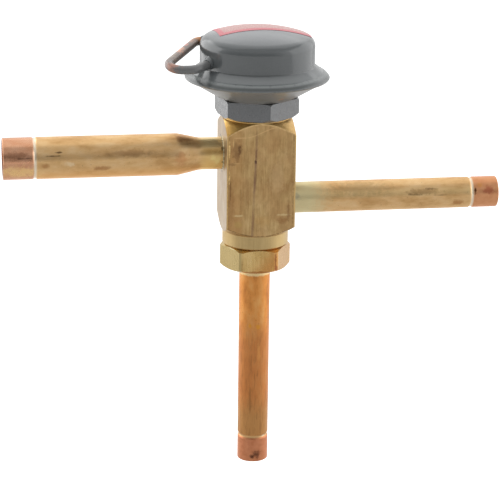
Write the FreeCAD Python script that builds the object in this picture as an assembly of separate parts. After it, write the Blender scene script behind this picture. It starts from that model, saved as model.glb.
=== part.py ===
import FreeCAD
import Part
import math
import os

# Three-way head pressure control valve with three soldered copper stubs.
# Millimetres. Z is the valve axis, and z = 0 is the mouth of the bottom stub.
# The bypass stub points along -X, the receiver stub along +X, and a flat of the body faces -Y.

# Copper stubs. A socket bore takes the outside of the pipe that is soldered in.
SMALL_SOCKET_BORE = 16.0
SMALL_TUBE_WALL = 1.0
LARGE_SOCKET_BORE = 22.35
LARGE_TUBE_WALL = 0.82
NECK_BORE = 16.5
NECK_WALL = 1.0
SMALL_STOP_DEPTH = 15.5
LARGE_STOP_DEPTH = 17.9
STOP_GROOVE_WIDTH = 2.8
STOP_GROOVE_DEPTH = 0.7
STOP_GROOVE_ROUND = 0.9
MOUTH_EDGE_ROUND = 0.4
CONDENSER_TUBE_LENGTH = 133.0
CONDENSER_TUBE_INSERTION = 12.2
RECEIVER_TUBE_REACH = 142.2
BYPASS_TUBE_REACH = 144.6
NECK_REACH = 33.2
SWAGE_LENGTH = 12.2
SWAGE_ROUND = 11.0

# Body, a length of square brass bar with both ends turned.
BAR_WIDTH = 39.5
BODY_HEIGHT = 75.3
COLLAR_DIAMETER = 38.16
COLLAR_HEIGHT = 7.7
LOWER_CONE_ANGLE = 33.0
UPPER_CONE_ANGLE = 40.4
TOP_RIM_DIAMETER = 39.3
TOP_RIM_HEIGHT = 0.8
TURNED_EDGE_BREAK = 0.4
RECEIVER_PORT_HEIGHT = 25.36
BYPASS_PORT_HEIGHT = 53.15
PORT_SHOULDER = 0.75
UPPER_CHAMBER_DIAMETER = 23.0
ELEMENT_BORE_DEPTH = 9.5
WEB_HEIGHT = 38.3
WEB_THICKNESS = 5.0

# Bottom adapter, a hexagon with a threaded spigot that carries the lower seat.
ADAPTER_ACROSS_FLATS = 36.5
ADAPTER_CORNER_DIAMETER = 40.8
ADAPTER_HEX_HEIGHT = 13.8
ADAPTER_HEX_TURN = -2.0
ADAPTER_FACE_DIAMETER = 35.8
ADAPTER_CHAMFER_ANGLE = 30.0
ADAPTER_THREAD_DIAMETER = 24.0
ADAPTER_SPIGOT_HEIGHT = 17.8
THREAD_RELIEF_WIDTH = 2.2
THREAD_RELIEF_DEPTH = 0.7
THREAD_LEAD_CHAMFER = 0.8
LOWER_PORT_DIAMETER = 15.2
SPRING_SHELF_THICKNESS = 3.0
SEAT_LIP_WIDTH = 1.3
SEAT_LIP_HEIGHT = 0.8
ADAPTER_GASKET_THICKNESS = 0.6
ADAPTER_GASKET_DIAMETER = 35.0

# Upper seat ring, pressed up into the web of the body.
UPPER_PORT_DIAMETER = 16.0
SEAT_RING_SHANK_DIAMETER = 20.0
SEAT_RING_HEAD_DIAMETER = 23.2
SEAT_RING_HEAD_THICKNESS = 2.5
SEAT_RING_SHANK_RECESS = 0.5

# Moving stem: poppet, seal rings, washers, nut, rod and buffer plate.
STROKE = 3.2
POPPET_OVERHANG = 0.35
POPPET_FLANGE_THICKNESS = 2.4
POPPET_NECK_DIAMETER = 9.0
POPPET_HUB_DIAMETER = 11.0
SEAL_RING_THICKNESS = 1.6
WASHER_THICKNESS = 1.2
WASHER_CLEARANCE = 0.4
NUT_ACROSS_FLATS = 7.0
NUT_HEIGHT = 3.2
ROD_DIAMETER = 6.0
ROD_END_DIAMETER = 4.0
ROD_END_PROUD = 1.0
ROD_BODY_LENGTH = 56.4
ROD_EDGE_BREAK = 0.3
BUFFER_PLATE_DIAMETER = 38.0
BUFFER_PLATE_THICKNESS = 2.2
BUFFER_HUB_DIAMETER = 12.0
BUFFER_HUB_HEIGHT = 2.8
BUFFER_EDGE_ROUND = 0.8
ROD_SOCKET_DEPTH = 3.4

# Return spring under the poppet.
SPRING_WIRE_DIAMETER = 1.2
SPRING_TURNS = 5.0
SPRING_CLEARANCE = 0.4

# Power element: hexagon, rod guide, two pressed cups, diaphragm and rim weld.
ELEMENT_ACROSS_FLATS = 42.5
ELEMENT_HEX_HEIGHT = 10.4
ELEMENT_HEX_TURN = 39.5
ELEMENT_BOTTOM_DIAMETER = 44.4
ELEMENT_BOTTOM_CHAMFER_ANGLE = 38.0
ELEMENT_TOP_CHAMFER = 0.9
ELEMENT_THREAD_DIAMETER = 25.4
ELEMENT_THREAD_LENGTH = 8.5
ELEMENT_GASKET_THICKNESS = 0.5
ELEMENT_GASKET_DIAMETER = 37.0
GUIDE_SHOULDER_RISE = 1.0
GUIDE_DIAMETER = 17.0
GUIDE_HOLE_DIAMETER = 2.0
GUIDE_HOLE_CIRCLE = 11.6
GUIDE_HOLE_COUNT = 4
CLIP_THICKNESS = 1.0
CLIP_WIDTH = 1.3
CLIP_GROOVE_DEPTH = 0.5
CLIP_LIP = 1.5
CLIP_GAP_ANGLE = 50.0
CUP_SPIGOT_DIAMETER = 22.0
CUP_SPIGOT_PROUD = 0.9
LOWER_CUP_THICKNESS = 1.0
LOWER_CUP_FLOOR_DIAMETER = 44.0
LOWER_CUP_DEPTH = 10.3
LOWER_CUP_RIM_WIDTH = 0.79
LOWER_CUP_BEND = 0.6
UPPER_CUP_THICKNESS = 1.0
CUP_FLANGE_DIAMETER = 80.0
RIM_WELD_WIDTH = 1.2
RIM_WELD_TOE = 2.6
RIM_WELD_UPPER_BULGE = 0.5
RIM_WELD_LOWER_BULGE = 0.3
CROWN_DIAMETER = 65.4
CROWN_HEIGHT = 26.9
CROWN_CAP_RADIUS = 91.0
CROWN_SHOULDER_RADIUS = 6.1
SKIRT_ANGLE = 38.0
SKIRT_BEND = 1.5
DIAPHRAGM_THICKNESS = 0.3
DIAPHRAGM_CLAMP_WIDTH = 2.5
DIAPHRAGM_WAVES = 3
DIAPHRAGM_WAVE_HEIGHT = 0.5

# Charge tube, a bent loop that leaves the crown at the back left and comes back at the front left.
# Its corners are (x, y, bend radius), in a plane that rises towards +Y.
CHARGE_TUBE_DIAMETER = 5.0
CHARGE_TUBE_WALL = 1.0
CHARGE_TUBE_RISE = 12.4
CHARGE_TUBE_TILT = 10.2
CHARGE_PLUG_LENGTH = 6.0
CHARGE_COLLAR_REACH = 2.6
CHARGE_COLLAR_DEPTH = 4.0
CHARGE_COLLAR_LIP = 0.3
CHARGE_COLLAR_TOE = 1.2
CHARGE_COLLAR_FLARE = 2.8
CHARGE_COLLAR_ROUND = 2.4
CHARGE_TUBE_OUTLET = (-25.4, 17.8)
CHARGE_TUBE_TIP = (-25.4, -10.9)
CHARGE_TUBE_BENDS = (
    (-31.8, 19.5, 6.0),
    (-57.9, -22.9, 7.6),
    (-37.6, -22.9, 10.0),
)

# Label on the crown, bare of print. Its corner is the front left one, as (x, y).
LABEL_CORNER = (-22.6, -7.9)
LABEL_LENGTH = 53.2
LABEL_WIDTH = 27.0
LABEL_TURN = 2.4
LABEL_REACH = 30.4
LABEL_THICKNESS = 0.15

# Clearances and joint sizes.
BRAZE_GAP = 0.08
PORT_BRAZE_FILLET = 0.7
BOTTOM_BRAZE_FILLET = 1.2
THREAD_CLEARANCE = 0.05
PRESS_CLEARANCE = 0.02
RUNNING_CLEARANCE = 0.05
LABEL_GAP = 0.02
HEX_SIDES = 6
CUTTER_MARGIN = 2.0

# Levels along the valve axis, from the bottom stub up.
small_tube_radius = SMALL_SOCKET_BORE / 2 + SMALL_TUBE_WALL
neck_radius = NECK_BORE / 2 + NECK_WALL
adapter_bottom_z = CONDENSER_TUBE_LENGTH - CONDENSER_TUBE_INSERTION
adapter_top_z = adapter_bottom_z + ADAPTER_HEX_HEIGHT
lower_seat_z = adapter_top_z + ADAPTER_SPIGOT_HEIGHT
spring_shelf_z = CONDENSER_TUBE_LENGTH + SPRING_SHELF_THICKNESS
body_bottom_z = adapter_top_z + ADAPTER_GASKET_THICKNESS
body_top_z = body_bottom_z + BODY_HEIGHT
receiver_z = body_bottom_z + RECEIVER_PORT_HEIGHT
bypass_z = body_bottom_z + BYPASS_PORT_HEIGHT
web_bottom_z = body_bottom_z + WEB_HEIGHT
web_top_z = web_bottom_z + WEB_THICKNESS
seat_ring_face_z = web_bottom_z - SEAT_RING_HEAD_THICKNESS
upper_seat_z = seat_ring_face_z - SEAT_LIP_HEIGHT
poppet_top_z = upper_seat_z - STROKE
rod_shoulder_z = poppet_top_z + WASHER_THICKNESS
spring_top_z = lower_seat_z - WASHER_THICKNESS
nut_bottom_z = spring_top_z - NUT_HEIGHT
element_bottom_z = body_top_z + ELEMENT_GASKET_THICKNESS
element_top_z = element_bottom_z + ELEMENT_HEX_HEIGHT
spigot_bottom_z = element_bottom_z - ELEMENT_THREAD_LENGTH
guide_top_z = element_bottom_z + GUIDE_SHOULDER_RISE
clip_z = spigot_bottom_z + CLIP_LIP
guide_bottom_z = clip_z + CLIP_THICKNESS
buffer_hub_z = rod_shoulder_z + ROD_BODY_LENGTH
buffer_bottom_z = buffer_hub_z + BUFFER_HUB_HEIGHT
buffer_top_z = buffer_bottom_z + BUFFER_PLATE_THICKNESS
lower_flange_z = element_top_z + LOWER_CUP_DEPTH
diaphragm_z = lower_flange_z + LOWER_CUP_THICKNESS
upper_flange_z = diaphragm_z + DIAPHRAGM_THICKNESS
flange_top_z = upper_flange_z + UPPER_CUP_THICKNESS
crown_apex_z = flange_top_z + CROWN_HEIGHT

# Radii that follow from the sizes above.
middle_chamber_radius = ADAPTER_THREAD_DIAMETER / 2 + THREAD_CLEARANCE
upper_chamber_radius = UPPER_CHAMBER_DIAMETER / 2
receiver_tube_x = middle_chamber_radius + PORT_SHOULDER
bypass_tube_x = upper_chamber_radius + PORT_SHOULDER
poppet_radius = UPPER_PORT_DIAMETER / 2 + SEAT_LIP_WIDTH + POPPET_OVERHANG
washer_radius = LOWER_PORT_DIAMETER / 2 - WASHER_CLEARANCE
rod_hole_radius = ROD_END_DIAMETER / 2 + RUNNING_CLEARANCE
spring_outer_radius = LOWER_PORT_DIAMETER / 2 - SPRING_CLEARANCE
spring_mean_radius = spring_outer_radius - SPRING_WIRE_DIAMETER / 2
spring_inner_radius = spring_outer_radius - SPRING_WIRE_DIAMETER
guide_bore_radius = GUIDE_DIAMETER / 2 + PRESS_CLEARANCE
hub_bore_radius = BUFFER_HUB_DIAMETER / 2 + WASHER_CLEARANCE
cup_flange_radius = CUP_FLANGE_DIAMETER / 2
crown_radius = CROWN_DIAMETER / 2

UP = FreeCAD.Vector(0, 0, 1)
ORIGIN = FreeCAD.Vector(0, 0, 0)
SIDEWAYS = FreeCAD.Vector(0, 1, 0)


def corner_arc(before, corner, after, radius):
    """Tangent arc that rounds one corner of a route, with its two ends."""
    back = (before - corner).normalize()
    ahead = (after - corner).normalize()
    half_angle = back.getAngle(ahead) / 2
    middle = (back + ahead).normalize()
    start = corner + back * (radius / math.tan(half_angle))
    end = corner + ahead * (radius / math.tan(half_angle))
    centre = corner + middle * (radius / math.sin(half_angle))
    return start, Part.Arc(start, centre - middle * radius, end).toShape(), end


def rounded_route(corners, closed=False):
    """Wire through (point, radius) corners, with a tangent arc where the radius is not zero."""
    count = len(corners)
    starts = []
    ends = []
    arcs = []
    for index, (point, radius) in enumerate(corners):
        inner = closed or 0 < index < count - 1
        if radius > 0 and inner:
            before = corners[index - 1][0]
            after = corners[(index + 1) % count][0]
            start, arc, end = corner_arc(before, point, after, radius)
        else:
            start, arc, end = point, None, point
        starts.append(start)
        arcs.append(arc)
        ends.append(end)
    edges = []
    for index in range(count):
        if arcs[index]:
            edges.append(arcs[index])
        following = (index + 1) % count
        if following == 0 and not closed:
            break
        edges.append(Part.LineSegment(ends[index], starts[following]).toShape())
    return Part.Wire(edges)


def turned(corners):
    """Solid of revolution about Z from (radius, height) or (radius, height, round) corners."""
    route = []
    for corner in corners:
        rounding = corner[2] if len(corner) > 2 else 0
        route.append((FreeCAD.Vector(corner[0], 0, corner[1]), rounding))
    face = Part.Face(rounded_route(route, closed=True))
    return face.revolve(ORIGIN, UP, 360)


def ring(inner_radius, outer_radius, low_z, high_z):
    """Flat ring about the valve axis."""
    return turned([
        (inner_radius, low_z),
        (outer_radius, low_z),
        (outer_radius, high_z),
        (inner_radius, high_z),
    ])


def bore(radius, low_z, high_z):
    """Cylinder about the valve axis, for cutting."""
    return Part.makeCylinder(radius, high_z - low_z, FreeCAD.Vector(0, 0, low_z))


def side_bore(radius, near_x, far_x, height, side):
    """Cylinder along X at the given height, on the -X or +X side."""
    start = FreeCAD.Vector(side * near_x, 0, height)
    return Part.makeCylinder(radius, far_x - near_x, start, FreeCAD.Vector(side, 0, 0))


def hexagon(across_flats, low_z, high_z, turn):
    """Six-sided prism about the valve axis, with its first corner at the angle turn."""
    corner_radius = across_flats / math.sqrt(3)
    points = []
    for index in range(HEX_SIDES + 1):
        angle = math.radians(turn + index * 360 / HEX_SIDES)
        points.append(FreeCAD.Vector(corner_radius * math.cos(angle), corner_radius * math.sin(angle), low_z))
    return Part.Face(Part.makePolygon(points)).extrude(UP * (high_z - low_z))


def lay_along_x(shape, side, height):
    """Turn a piece made along +Z so that it points along X on one side, at the given height."""
    laid = shape.copy()
    laid.rotate(ORIGIN, SIDEWAYS, 90 * side)
    laid.translate(UP * height)
    return laid


def stub_tube(inner_end, mouth, socket_bore, wall, stop_depth, base_bore, base_wall, neck_end=None):
    """Copper stub along Z, from its brazed end to its socket mouth, with a rolled stop groove.

    The outside corners run out to the mouth and the inside corners run back. With neck_end the
    tube starts at the narrower base size and swells to the socket size after that level."""
    socket_radius = socket_bore / 2
    base_radius = base_bore / 2
    groove = mouth - stop_depth
    outside = [(base_radius + base_wall, inner_end)]
    inside = [(base_radius, inner_end)]
    if neck_end is not None:
        swage_end = neck_end + SWAGE_LENGTH
        outside.append((base_radius + base_wall, neck_end, SWAGE_ROUND))
        outside.append((socket_radius + wall, swage_end, SWAGE_ROUND))
        inside.append((base_radius, neck_end, SWAGE_ROUND))
        inside.append((socket_radius, swage_end, SWAGE_ROUND))
    for radius, side in ((socket_radius + wall, outside), (socket_radius, inside)):
        side.append((radius, groove - STOP_GROOVE_WIDTH / 2, STOP_GROOVE_ROUND / 2))
        side.append((radius - STOP_GROOVE_DEPTH, groove, STOP_GROOVE_ROUND))
        side.append((radius, groove + STOP_GROOVE_WIDTH / 2, STOP_GROOVE_ROUND / 2))
    outside.append((socket_radius + wall, mouth, MOUTH_EDGE_ROUND))
    inside.append((socket_radius, mouth))
    return turned(outside + inside[::-1])


def make_condenser_tube():
    tube = stub_tube(
        0, CONDENSER_TUBE_LENGTH, SMALL_SOCKET_BORE, SMALL_TUBE_WALL,
        SMALL_STOP_DEPTH, SMALL_SOCKET_BORE, SMALL_TUBE_WALL,
    )
    tube.rotate(ORIGIN, SIDEWAYS, 180)
    tube.translate(UP * CONDENSER_TUBE_LENGTH)
    return tube


def make_receiver_tube():
    tube = stub_tube(
        receiver_tube_x, RECEIVER_TUBE_REACH, SMALL_SOCKET_BORE, SMALL_TUBE_WALL,
        SMALL_STOP_DEPTH, SMALL_SOCKET_BORE, SMALL_TUBE_WALL,
    )
    return lay_along_x(tube, 1, receiver_z)


def make_bypass_tube():
    tube = stub_tube(
        bypass_tube_x, BYPASS_TUBE_REACH, LARGE_SOCKET_BORE, LARGE_TUBE_WALL,
        LARGE_STOP_DEPTH, NECK_BORE, NECK_WALL, NECK_REACH,
    )
    return lay_along_x(tube, -1, bypass_z)


def make_braze_fillet(tube_radius, base, size):
    """Ring of filler round a tube that stands on a flat face, hollow in section."""
    inner_radius = tube_radius + RUNNING_CLEARANCE
    toe = FreeCAD.Vector(inner_radius + size, 0, base)
    foot = FreeCAD.Vector(inner_radius, 0, base)
    top = FreeCAD.Vector(inner_radius, 0, base + size)
    sag = size * (1 - math.sqrt(0.5))
    waist = FreeCAD.Vector(inner_radius + sag, 0, base + sag)
    edges = [
        Part.LineSegment(foot, toe).toShape(),
        Part.Arc(toe, waist, top).toShape(),
        Part.LineSegment(top, foot).toShape(),
    ]
    return Part.Face(Part.Wire(edges)).revolve(ORIGIN, UP, 360)


def make_condenser_braze():
    fillet = make_braze_fillet(small_tube_radius, 0, BOTTOM_BRAZE_FILLET)
    fillet.rotate(ORIGIN, SIDEWAYS, 180)
    fillet.translate(UP * adapter_bottom_z)
    return fillet


def make_port_braze(tube_radius, side, height):
    return lay_along_x(make_braze_fillet(tube_radius, BAR_WIDTH / 2, PORT_BRAZE_FILLET), side, height)


def make_valve_body():
    """Square bar with turned ends, a stepped bore with a web, and two side ports."""
    collar_radius = COLLAR_DIAMETER / 2
    rim_radius = TOP_RIM_DIAMETER / 2
    outer_radius = BAR_WIDTH / math.sqrt(2) + CUTTER_MARGIN
    lower_cone_z = body_bottom_z + COLLAR_HEIGHT
    upper_cone_z = body_top_z - TOP_RIM_HEIGHT
    lower_rise = (outer_radius - collar_radius) * math.tan(math.radians(LOWER_CONE_ANGLE))
    upper_fall = (outer_radius - rim_radius) * math.tan(math.radians(UPPER_CONE_ANGLE))
    envelope = turned([
        (0, body_bottom_z),
        (collar_radius - TURNED_EDGE_BREAK, body_bottom_z),
        (collar_radius, body_bottom_z + TURNED_EDGE_BREAK),
        (collar_radius, lower_cone_z),
        (outer_radius, lower_cone_z + lower_rise),
        (outer_radius, upper_cone_z - upper_fall),
        (rim_radius, upper_cone_z),
        (rim_radius, body_top_z - TURNED_EDGE_BREAK),
        (rim_radius - TURNED_EDGE_BREAK, body_top_z),
        (0, body_top_z),
    ])
    half = BAR_WIDTH / 2
    bar = Part.makeBox(BAR_WIDTH, BAR_WIDTH, BODY_HEIGHT, FreeCAD.Vector(-half, -half, body_bottom_z))
    body = bar.common(envelope)
    element_bore_z = body_top_z - ELEMENT_BORE_DEPTH
    cutters = [
        bore(middle_chamber_radius, body_bottom_z - CUTTER_MARGIN, web_bottom_z),
        bore(SEAT_RING_SHANK_DIAMETER / 2 + PRESS_CLEARANCE, web_bottom_z, web_top_z),
        bore(upper_chamber_radius, web_top_z, element_bore_z),
        bore(ELEMENT_THREAD_DIAMETER / 2 + THREAD_CLEARANCE, element_bore_z, body_top_z + CUTTER_MARGIN),
        side_bore(SMALL_SOCKET_BORE / 2, 0, half, receiver_z, 1),
        side_bore(small_tube_radius + BRAZE_GAP, receiver_tube_x, half + CUTTER_MARGIN, receiver_z, 1),
        side_bore(NECK_BORE / 2, 0, half, bypass_z, -1),
        side_bore(neck_radius + BRAZE_GAP, bypass_tube_x, half + CUTTER_MARGIN, bypass_z, -1),
    ]
    return body.cut(cutters)


def make_upper_seat_ring():
    port_radius = UPPER_PORT_DIAMETER / 2
    shank_radius = SEAT_RING_SHANK_DIAMETER / 2
    head_radius = SEAT_RING_HEAD_DIAMETER / 2
    return turned([
        (port_radius, upper_seat_z),
        (port_radius + SEAT_LIP_WIDTH, upper_seat_z),
        (port_radius + SEAT_LIP_WIDTH, seat_ring_face_z),
        (head_radius, seat_ring_face_z),
        (head_radius, web_bottom_z),
        (shank_radius, web_bottom_z),
        (shank_radius, web_top_z - SEAT_RING_SHANK_RECESS),
        (port_radius, web_top_z - SEAT_RING_SHANK_RECESS),
    ])


def make_bottom_adapter():
    """Hexagon with a tube socket below and a threaded spigot above, tipped by the lower seat."""
    face_radius = ADAPTER_FACE_DIAMETER / 2
    corner_radius = ADAPTER_CORNER_DIAMETER / 2
    chamfer = (corner_radius - face_radius) * math.tan(math.radians(ADAPTER_CHAMFER_ANGLE))
    thread_radius = ADAPTER_THREAD_DIAMETER / 2
    port_radius = LOWER_PORT_DIAMETER / 2
    seat_face_z = lower_seat_z - SEAT_LIP_HEIGHT
    envelope = turned([
        (0, adapter_bottom_z),
        (face_radius, adapter_bottom_z),
        (corner_radius, adapter_bottom_z + chamfer),
        (corner_radius, adapter_top_z - chamfer),
        (face_radius, adapter_top_z),
        (0, adapter_top_z),
    ])
    head = hexagon(ADAPTER_ACROSS_FLATS, adapter_bottom_z, adapter_top_z, ADAPTER_HEX_TURN)
    spigot = turned([
        (0, adapter_top_z),
        (thread_radius - THREAD_RELIEF_DEPTH, adapter_top_z),
        (thread_radius - THREAD_RELIEF_DEPTH, adapter_top_z + THREAD_RELIEF_WIDTH),
        (thread_radius, adapter_top_z + THREAD_RELIEF_WIDTH + THREAD_RELIEF_DEPTH),
        (thread_radius, seat_face_z - THREAD_LEAD_CHAMFER),
        (thread_radius - THREAD_LEAD_CHAMFER, seat_face_z),
        (port_radius + SEAT_LIP_WIDTH, seat_face_z),
        (port_radius + SEAT_LIP_WIDTH, lower_seat_z),
        (0, lower_seat_z),
    ])
    adapter = head.common(envelope).fuse(spigot).removeSplitter()
    cutters = [
        bore(small_tube_radius + BRAZE_GAP, adapter_bottom_z - CUTTER_MARGIN, CONDENSER_TUBE_LENGTH),
        bore(spring_inner_radius, CONDENSER_TUBE_LENGTH, spring_shelf_z),
        bore(port_radius, spring_shelf_z, lower_seat_z + CUTTER_MARGIN),
    ]
    return adapter.cut(cutters)


def make_adapter_gasket():
    inner_radius = ADAPTER_THREAD_DIAMETER / 2 + THREAD_CLEARANCE
    return ring(inner_radius, ADAPTER_GASKET_DIAMETER / 2, adapter_top_z, body_bottom_z)


def make_element_gasket():
    inner_radius = ELEMENT_THREAD_DIAMETER / 2 + THREAD_CLEARANCE
    return ring(inner_radius, ELEMENT_GASKET_DIAMETER / 2, body_top_z, element_bottom_z)


def make_poppet():
    """Double-ended valve disc: two flanges on a neck, each with a hub for its seal ring."""
    hub_radius = POPPET_HUB_DIAMETER / 2
    neck_radius_here = POPPET_NECK_DIAMETER / 2
    lower_flange = lower_seat_z + SEAL_RING_THICKNESS
    upper_flange = poppet_top_z - SEAL_RING_THICKNESS
    return turned([
        (rod_hole_radius, lower_seat_z),
        (hub_radius, lower_seat_z),
        (hub_radius, lower_flange),
        (poppet_radius, lower_flange),
        (poppet_radius, lower_flange + POPPET_FLANGE_THICKNESS),
        (neck_radius_here, lower_flange + POPPET_FLANGE_THICKNESS),
        (neck_radius_here, upper_flange - POPPET_FLANGE_THICKNESS),
        (poppet_radius, upper_flange - POPPET_FLANGE_THICKNESS),
        (poppet_radius, upper_flange),
        (hub_radius, upper_flange),
        (hub_radius, poppet_top_z),
        (rod_hole_radius, poppet_top_z),
    ])


def make_seal_ring(low_z):
    inner_radius = POPPET_HUB_DIAMETER / 2 + PRESS_CLEARANCE
    return ring(inner_radius, poppet_radius, low_z, low_z + SEAL_RING_THICKNESS)


def make_retaining_washers():
    washers = []
    for low_z in (spring_top_z, poppet_top_z):
        washers.append(ring(rod_hole_radius, washer_radius, low_z, low_z + WASHER_THICKNESS))
    return Part.makeCompound(washers)


def make_poppet_nut():
    nut = hexagon(NUT_ACROSS_FLATS, nut_bottom_z, spring_top_z, 0)
    return nut.cut(bore(rod_hole_radius, nut_bottom_z - CUTTER_MARGIN, spring_top_z + CUTTER_MARGIN))


def make_push_rod():
    end_radius = ROD_END_DIAMETER / 2
    body_radius = ROD_DIAMETER / 2
    tail_z = nut_bottom_z - ROD_END_PROUD
    head_z = buffer_hub_z + ROD_SOCKET_DEPTH - RUNNING_CLEARANCE
    return turned([
        (0, tail_z),
        (end_radius - ROD_EDGE_BREAK, tail_z),
        (end_radius, tail_z + ROD_EDGE_BREAK),
        (end_radius, rod_shoulder_z),
        (body_radius, rod_shoulder_z),
        (body_radius, buffer_hub_z),
        (end_radius, buffer_hub_z),
        (end_radius, head_z - ROD_EDGE_BREAK),
        (end_radius - ROD_EDGE_BREAK, head_z),
        (0, head_z),
    ])


def make_buffer_plate():
    plate_radius = BUFFER_PLATE_DIAMETER / 2
    hub_radius = BUFFER_HUB_DIAMETER / 2
    plate = turned([
        (0, buffer_hub_z),
        (hub_radius, buffer_hub_z),
        (hub_radius, buffer_bottom_z, BUFFER_EDGE_ROUND),
        (plate_radius, buffer_bottom_z),
        (plate_radius, buffer_top_z, BUFFER_EDGE_ROUND),
        (0, buffer_top_z),
    ])
    return plate.cut(bore(rod_hole_radius, buffer_hub_z - CUTTER_MARGIN, buffer_hub_z + ROD_SOCKET_DEPTH))


def make_return_spring():
    """Compression spring with both ends ground flat."""
    height = spring_top_z - spring_shelf_z
    pitch = height / SPRING_TURNS
    path = Part.makeHelix(pitch, height, spring_mean_radius)
    start = FreeCAD.Vector(spring_mean_radius, 0, 0)
    heading = FreeCAD.Vector(0, 2 * math.pi * spring_mean_radius, pitch)
    section = Part.Wire(Part.makeCircle(SPRING_WIRE_DIAMETER / 2, start, heading))
    coil = Part.Wire(path.Edges).makePipeShell([section], True, True)
    ground = coil.common(bore(spring_outer_radius + CUTTER_MARGIN, 0, height))
    ground.translate(UP * spring_shelf_z)
    return ground


def make_element_hex():
    """Painted hexagon with a threaded spigot below and a short spigot for the lower cup above."""
    bottom_radius = ELEMENT_BOTTOM_DIAMETER / 2
    corner_radius = ELEMENT_ACROSS_FLATS / math.sqrt(3)
    rise = (corner_radius - bottom_radius) * math.tan(math.radians(ELEMENT_BOTTOM_CHAMFER_ANGLE))
    thread_radius = ELEMENT_THREAD_DIAMETER / 2
    spigot_radius = CUP_SPIGOT_DIAMETER / 2
    spigot_top_z = element_top_z + LOWER_CUP_THICKNESS + CUP_SPIGOT_PROUD
    envelope = turned([
        (0, element_bottom_z),
        (bottom_radius, element_bottom_z),
        (corner_radius, element_bottom_z + rise),
        (corner_radius, element_top_z - ELEMENT_TOP_CHAMFER),
        (corner_radius - ELEMENT_TOP_CHAMFER, element_top_z),
        (0, element_top_z),
    ])
    head = hexagon(ELEMENT_ACROSS_FLATS, element_bottom_z, element_top_z, ELEMENT_HEX_TURN)
    stem = turned([
        (0, spigot_bottom_z),
        (thread_radius - THREAD_LEAD_CHAMFER, spigot_bottom_z),
        (thread_radius, spigot_bottom_z + THREAD_LEAD_CHAMFER),
        (thread_radius, element_bottom_z - THREAD_RELIEF_WIDTH),
        (thread_radius - THREAD_RELIEF_DEPTH, element_bottom_z - THREAD_RELIEF_WIDTH + THREAD_RELIEF_DEPTH),
        (thread_radius - THREAD_RELIEF_DEPTH, element_bottom_z + GUIDE_SHOULDER_RISE),
        (spigot_radius, element_bottom_z + GUIDE_SHOULDER_RISE),
        (spigot_radius, spigot_top_z),
        (0, spigot_top_z),
    ])
    piece = head.common(envelope).fuse(stem).removeSplitter()
    cutters = [
        bore(guide_bore_radius, spigot_bottom_z - CUTTER_MARGIN, guide_top_z),
        bore(guide_bore_radius + CLIP_GROOVE_DEPTH, clip_z, guide_bottom_z),
        bore(hub_bore_radius, guide_top_z, spigot_top_z + CUTTER_MARGIN),
    ]
    return piece.cut(cutters)


def make_rod_guide():
    """Bush for the push rod, with holes that let the chamber pressure through to the diaphragm."""
    guide = ring(ROD_DIAMETER / 2 + RUNNING_CLEARANCE, GUIDE_DIAMETER / 2, guide_bottom_z, guide_top_z)
    hole = bore(GUIDE_HOLE_DIAMETER / 2, guide_bottom_z - CUTTER_MARGIN, guide_top_z + CUTTER_MARGIN)
    hole.translate(FreeCAD.Vector(GUIDE_HOLE_CIRCLE / 2, 0, 0))
    holes = []
    for index in range(GUIDE_HOLE_COUNT):
        turned_hole = hole.copy()
        turned_hole.rotate(ORIGIN, UP, index * 360 / GUIDE_HOLE_COUNT)
        holes.append(turned_hole)
    return guide.cut(holes)


def make_guide_clip():
    """Open spring ring that holds the rod guide up in its bore."""
    outer_radius = guide_bore_radius + CLIP_GROOVE_DEPTH - PRESS_CLEARANCE
    inner_radius = guide_bore_radius - CLIP_WIDTH
    section = Part.makePolygon([
        FreeCAD.Vector(inner_radius, 0, clip_z),
        FreeCAD.Vector(outer_radius, 0, clip_z),
        FreeCAD.Vector(outer_radius, 0, guide_bottom_z),
        FreeCAD.Vector(inner_radius, 0, guide_bottom_z),
        FreeCAD.Vector(inner_radius, 0, clip_z),
    ])
    return Part.Face(section).revolve(ORIGIN, UP, 360 - CLIP_GAP_ANGLE)


def make_lower_cup():
    """Pressed cup: flat floor on the hexagon, a cone, and a flat rim."""
    hole_radius = CUP_SPIGOT_DIAMETER / 2 + PRESS_CLEARANCE
    floor_radius = LOWER_CUP_FLOOR_DIAMETER / 2
    cone_radius = cup_flange_radius - LOWER_CUP_RIM_WIDTH
    cone_angle = math.atan2(LOWER_CUP_DEPTH, cone_radius - floor_radius)
    offset = LOWER_CUP_THICKNESS * math.tan(cone_angle / 2)
    floor_top = element_top_z + LOWER_CUP_THICKNESS
    inner_bend = LOWER_CUP_BEND + LOWER_CUP_THICKNESS
    return turned([
        (hole_radius, element_top_z),
        (floor_radius, element_top_z, inner_bend),
        (cone_radius, lower_flange_z, LOWER_CUP_BEND),
        (cup_flange_radius, lower_flange_z),
        (cup_flange_radius, diaphragm_z),
        (cone_radius - offset, diaphragm_z, inner_bend),
        (floor_radius - offset, floor_top, LOWER_CUP_BEND),
        (hole_radius, floor_top),
    ])


def make_diaphragm():
    """Thin waved disc, clamped at its rim and pushed down on the buffer plate at its middle."""
    rim_radius = cup_flange_radius - DIAPHRAGM_CLAMP_WIDTH
    middle_radius = BUFFER_PLATE_DIAMETER / 2
    span = rim_radius - middle_radius
    drop = diaphragm_z - buffer_top_z
    waved = []
    steps = 2 * DIAPHRAGM_WAVES
    for index in range(1, steps):
        share = index / steps
        wave = DIAPHRAGM_WAVE_HEIGHT / 2 * (-1) ** index
        waved.append((middle_radius + span * share, buffer_top_z + drop * share + wave))
    lower_face = [(0, buffer_top_z), (middle_radius, buffer_top_z)]
    lower_face += waved
    lower_face += [(rim_radius, diaphragm_z), (cup_flange_radius, diaphragm_z)]
    upper_face = [(radius, height + DIAPHRAGM_THICKNESS) for radius, height in lower_face]
    return turned(lower_face + upper_face[::-1])


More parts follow.
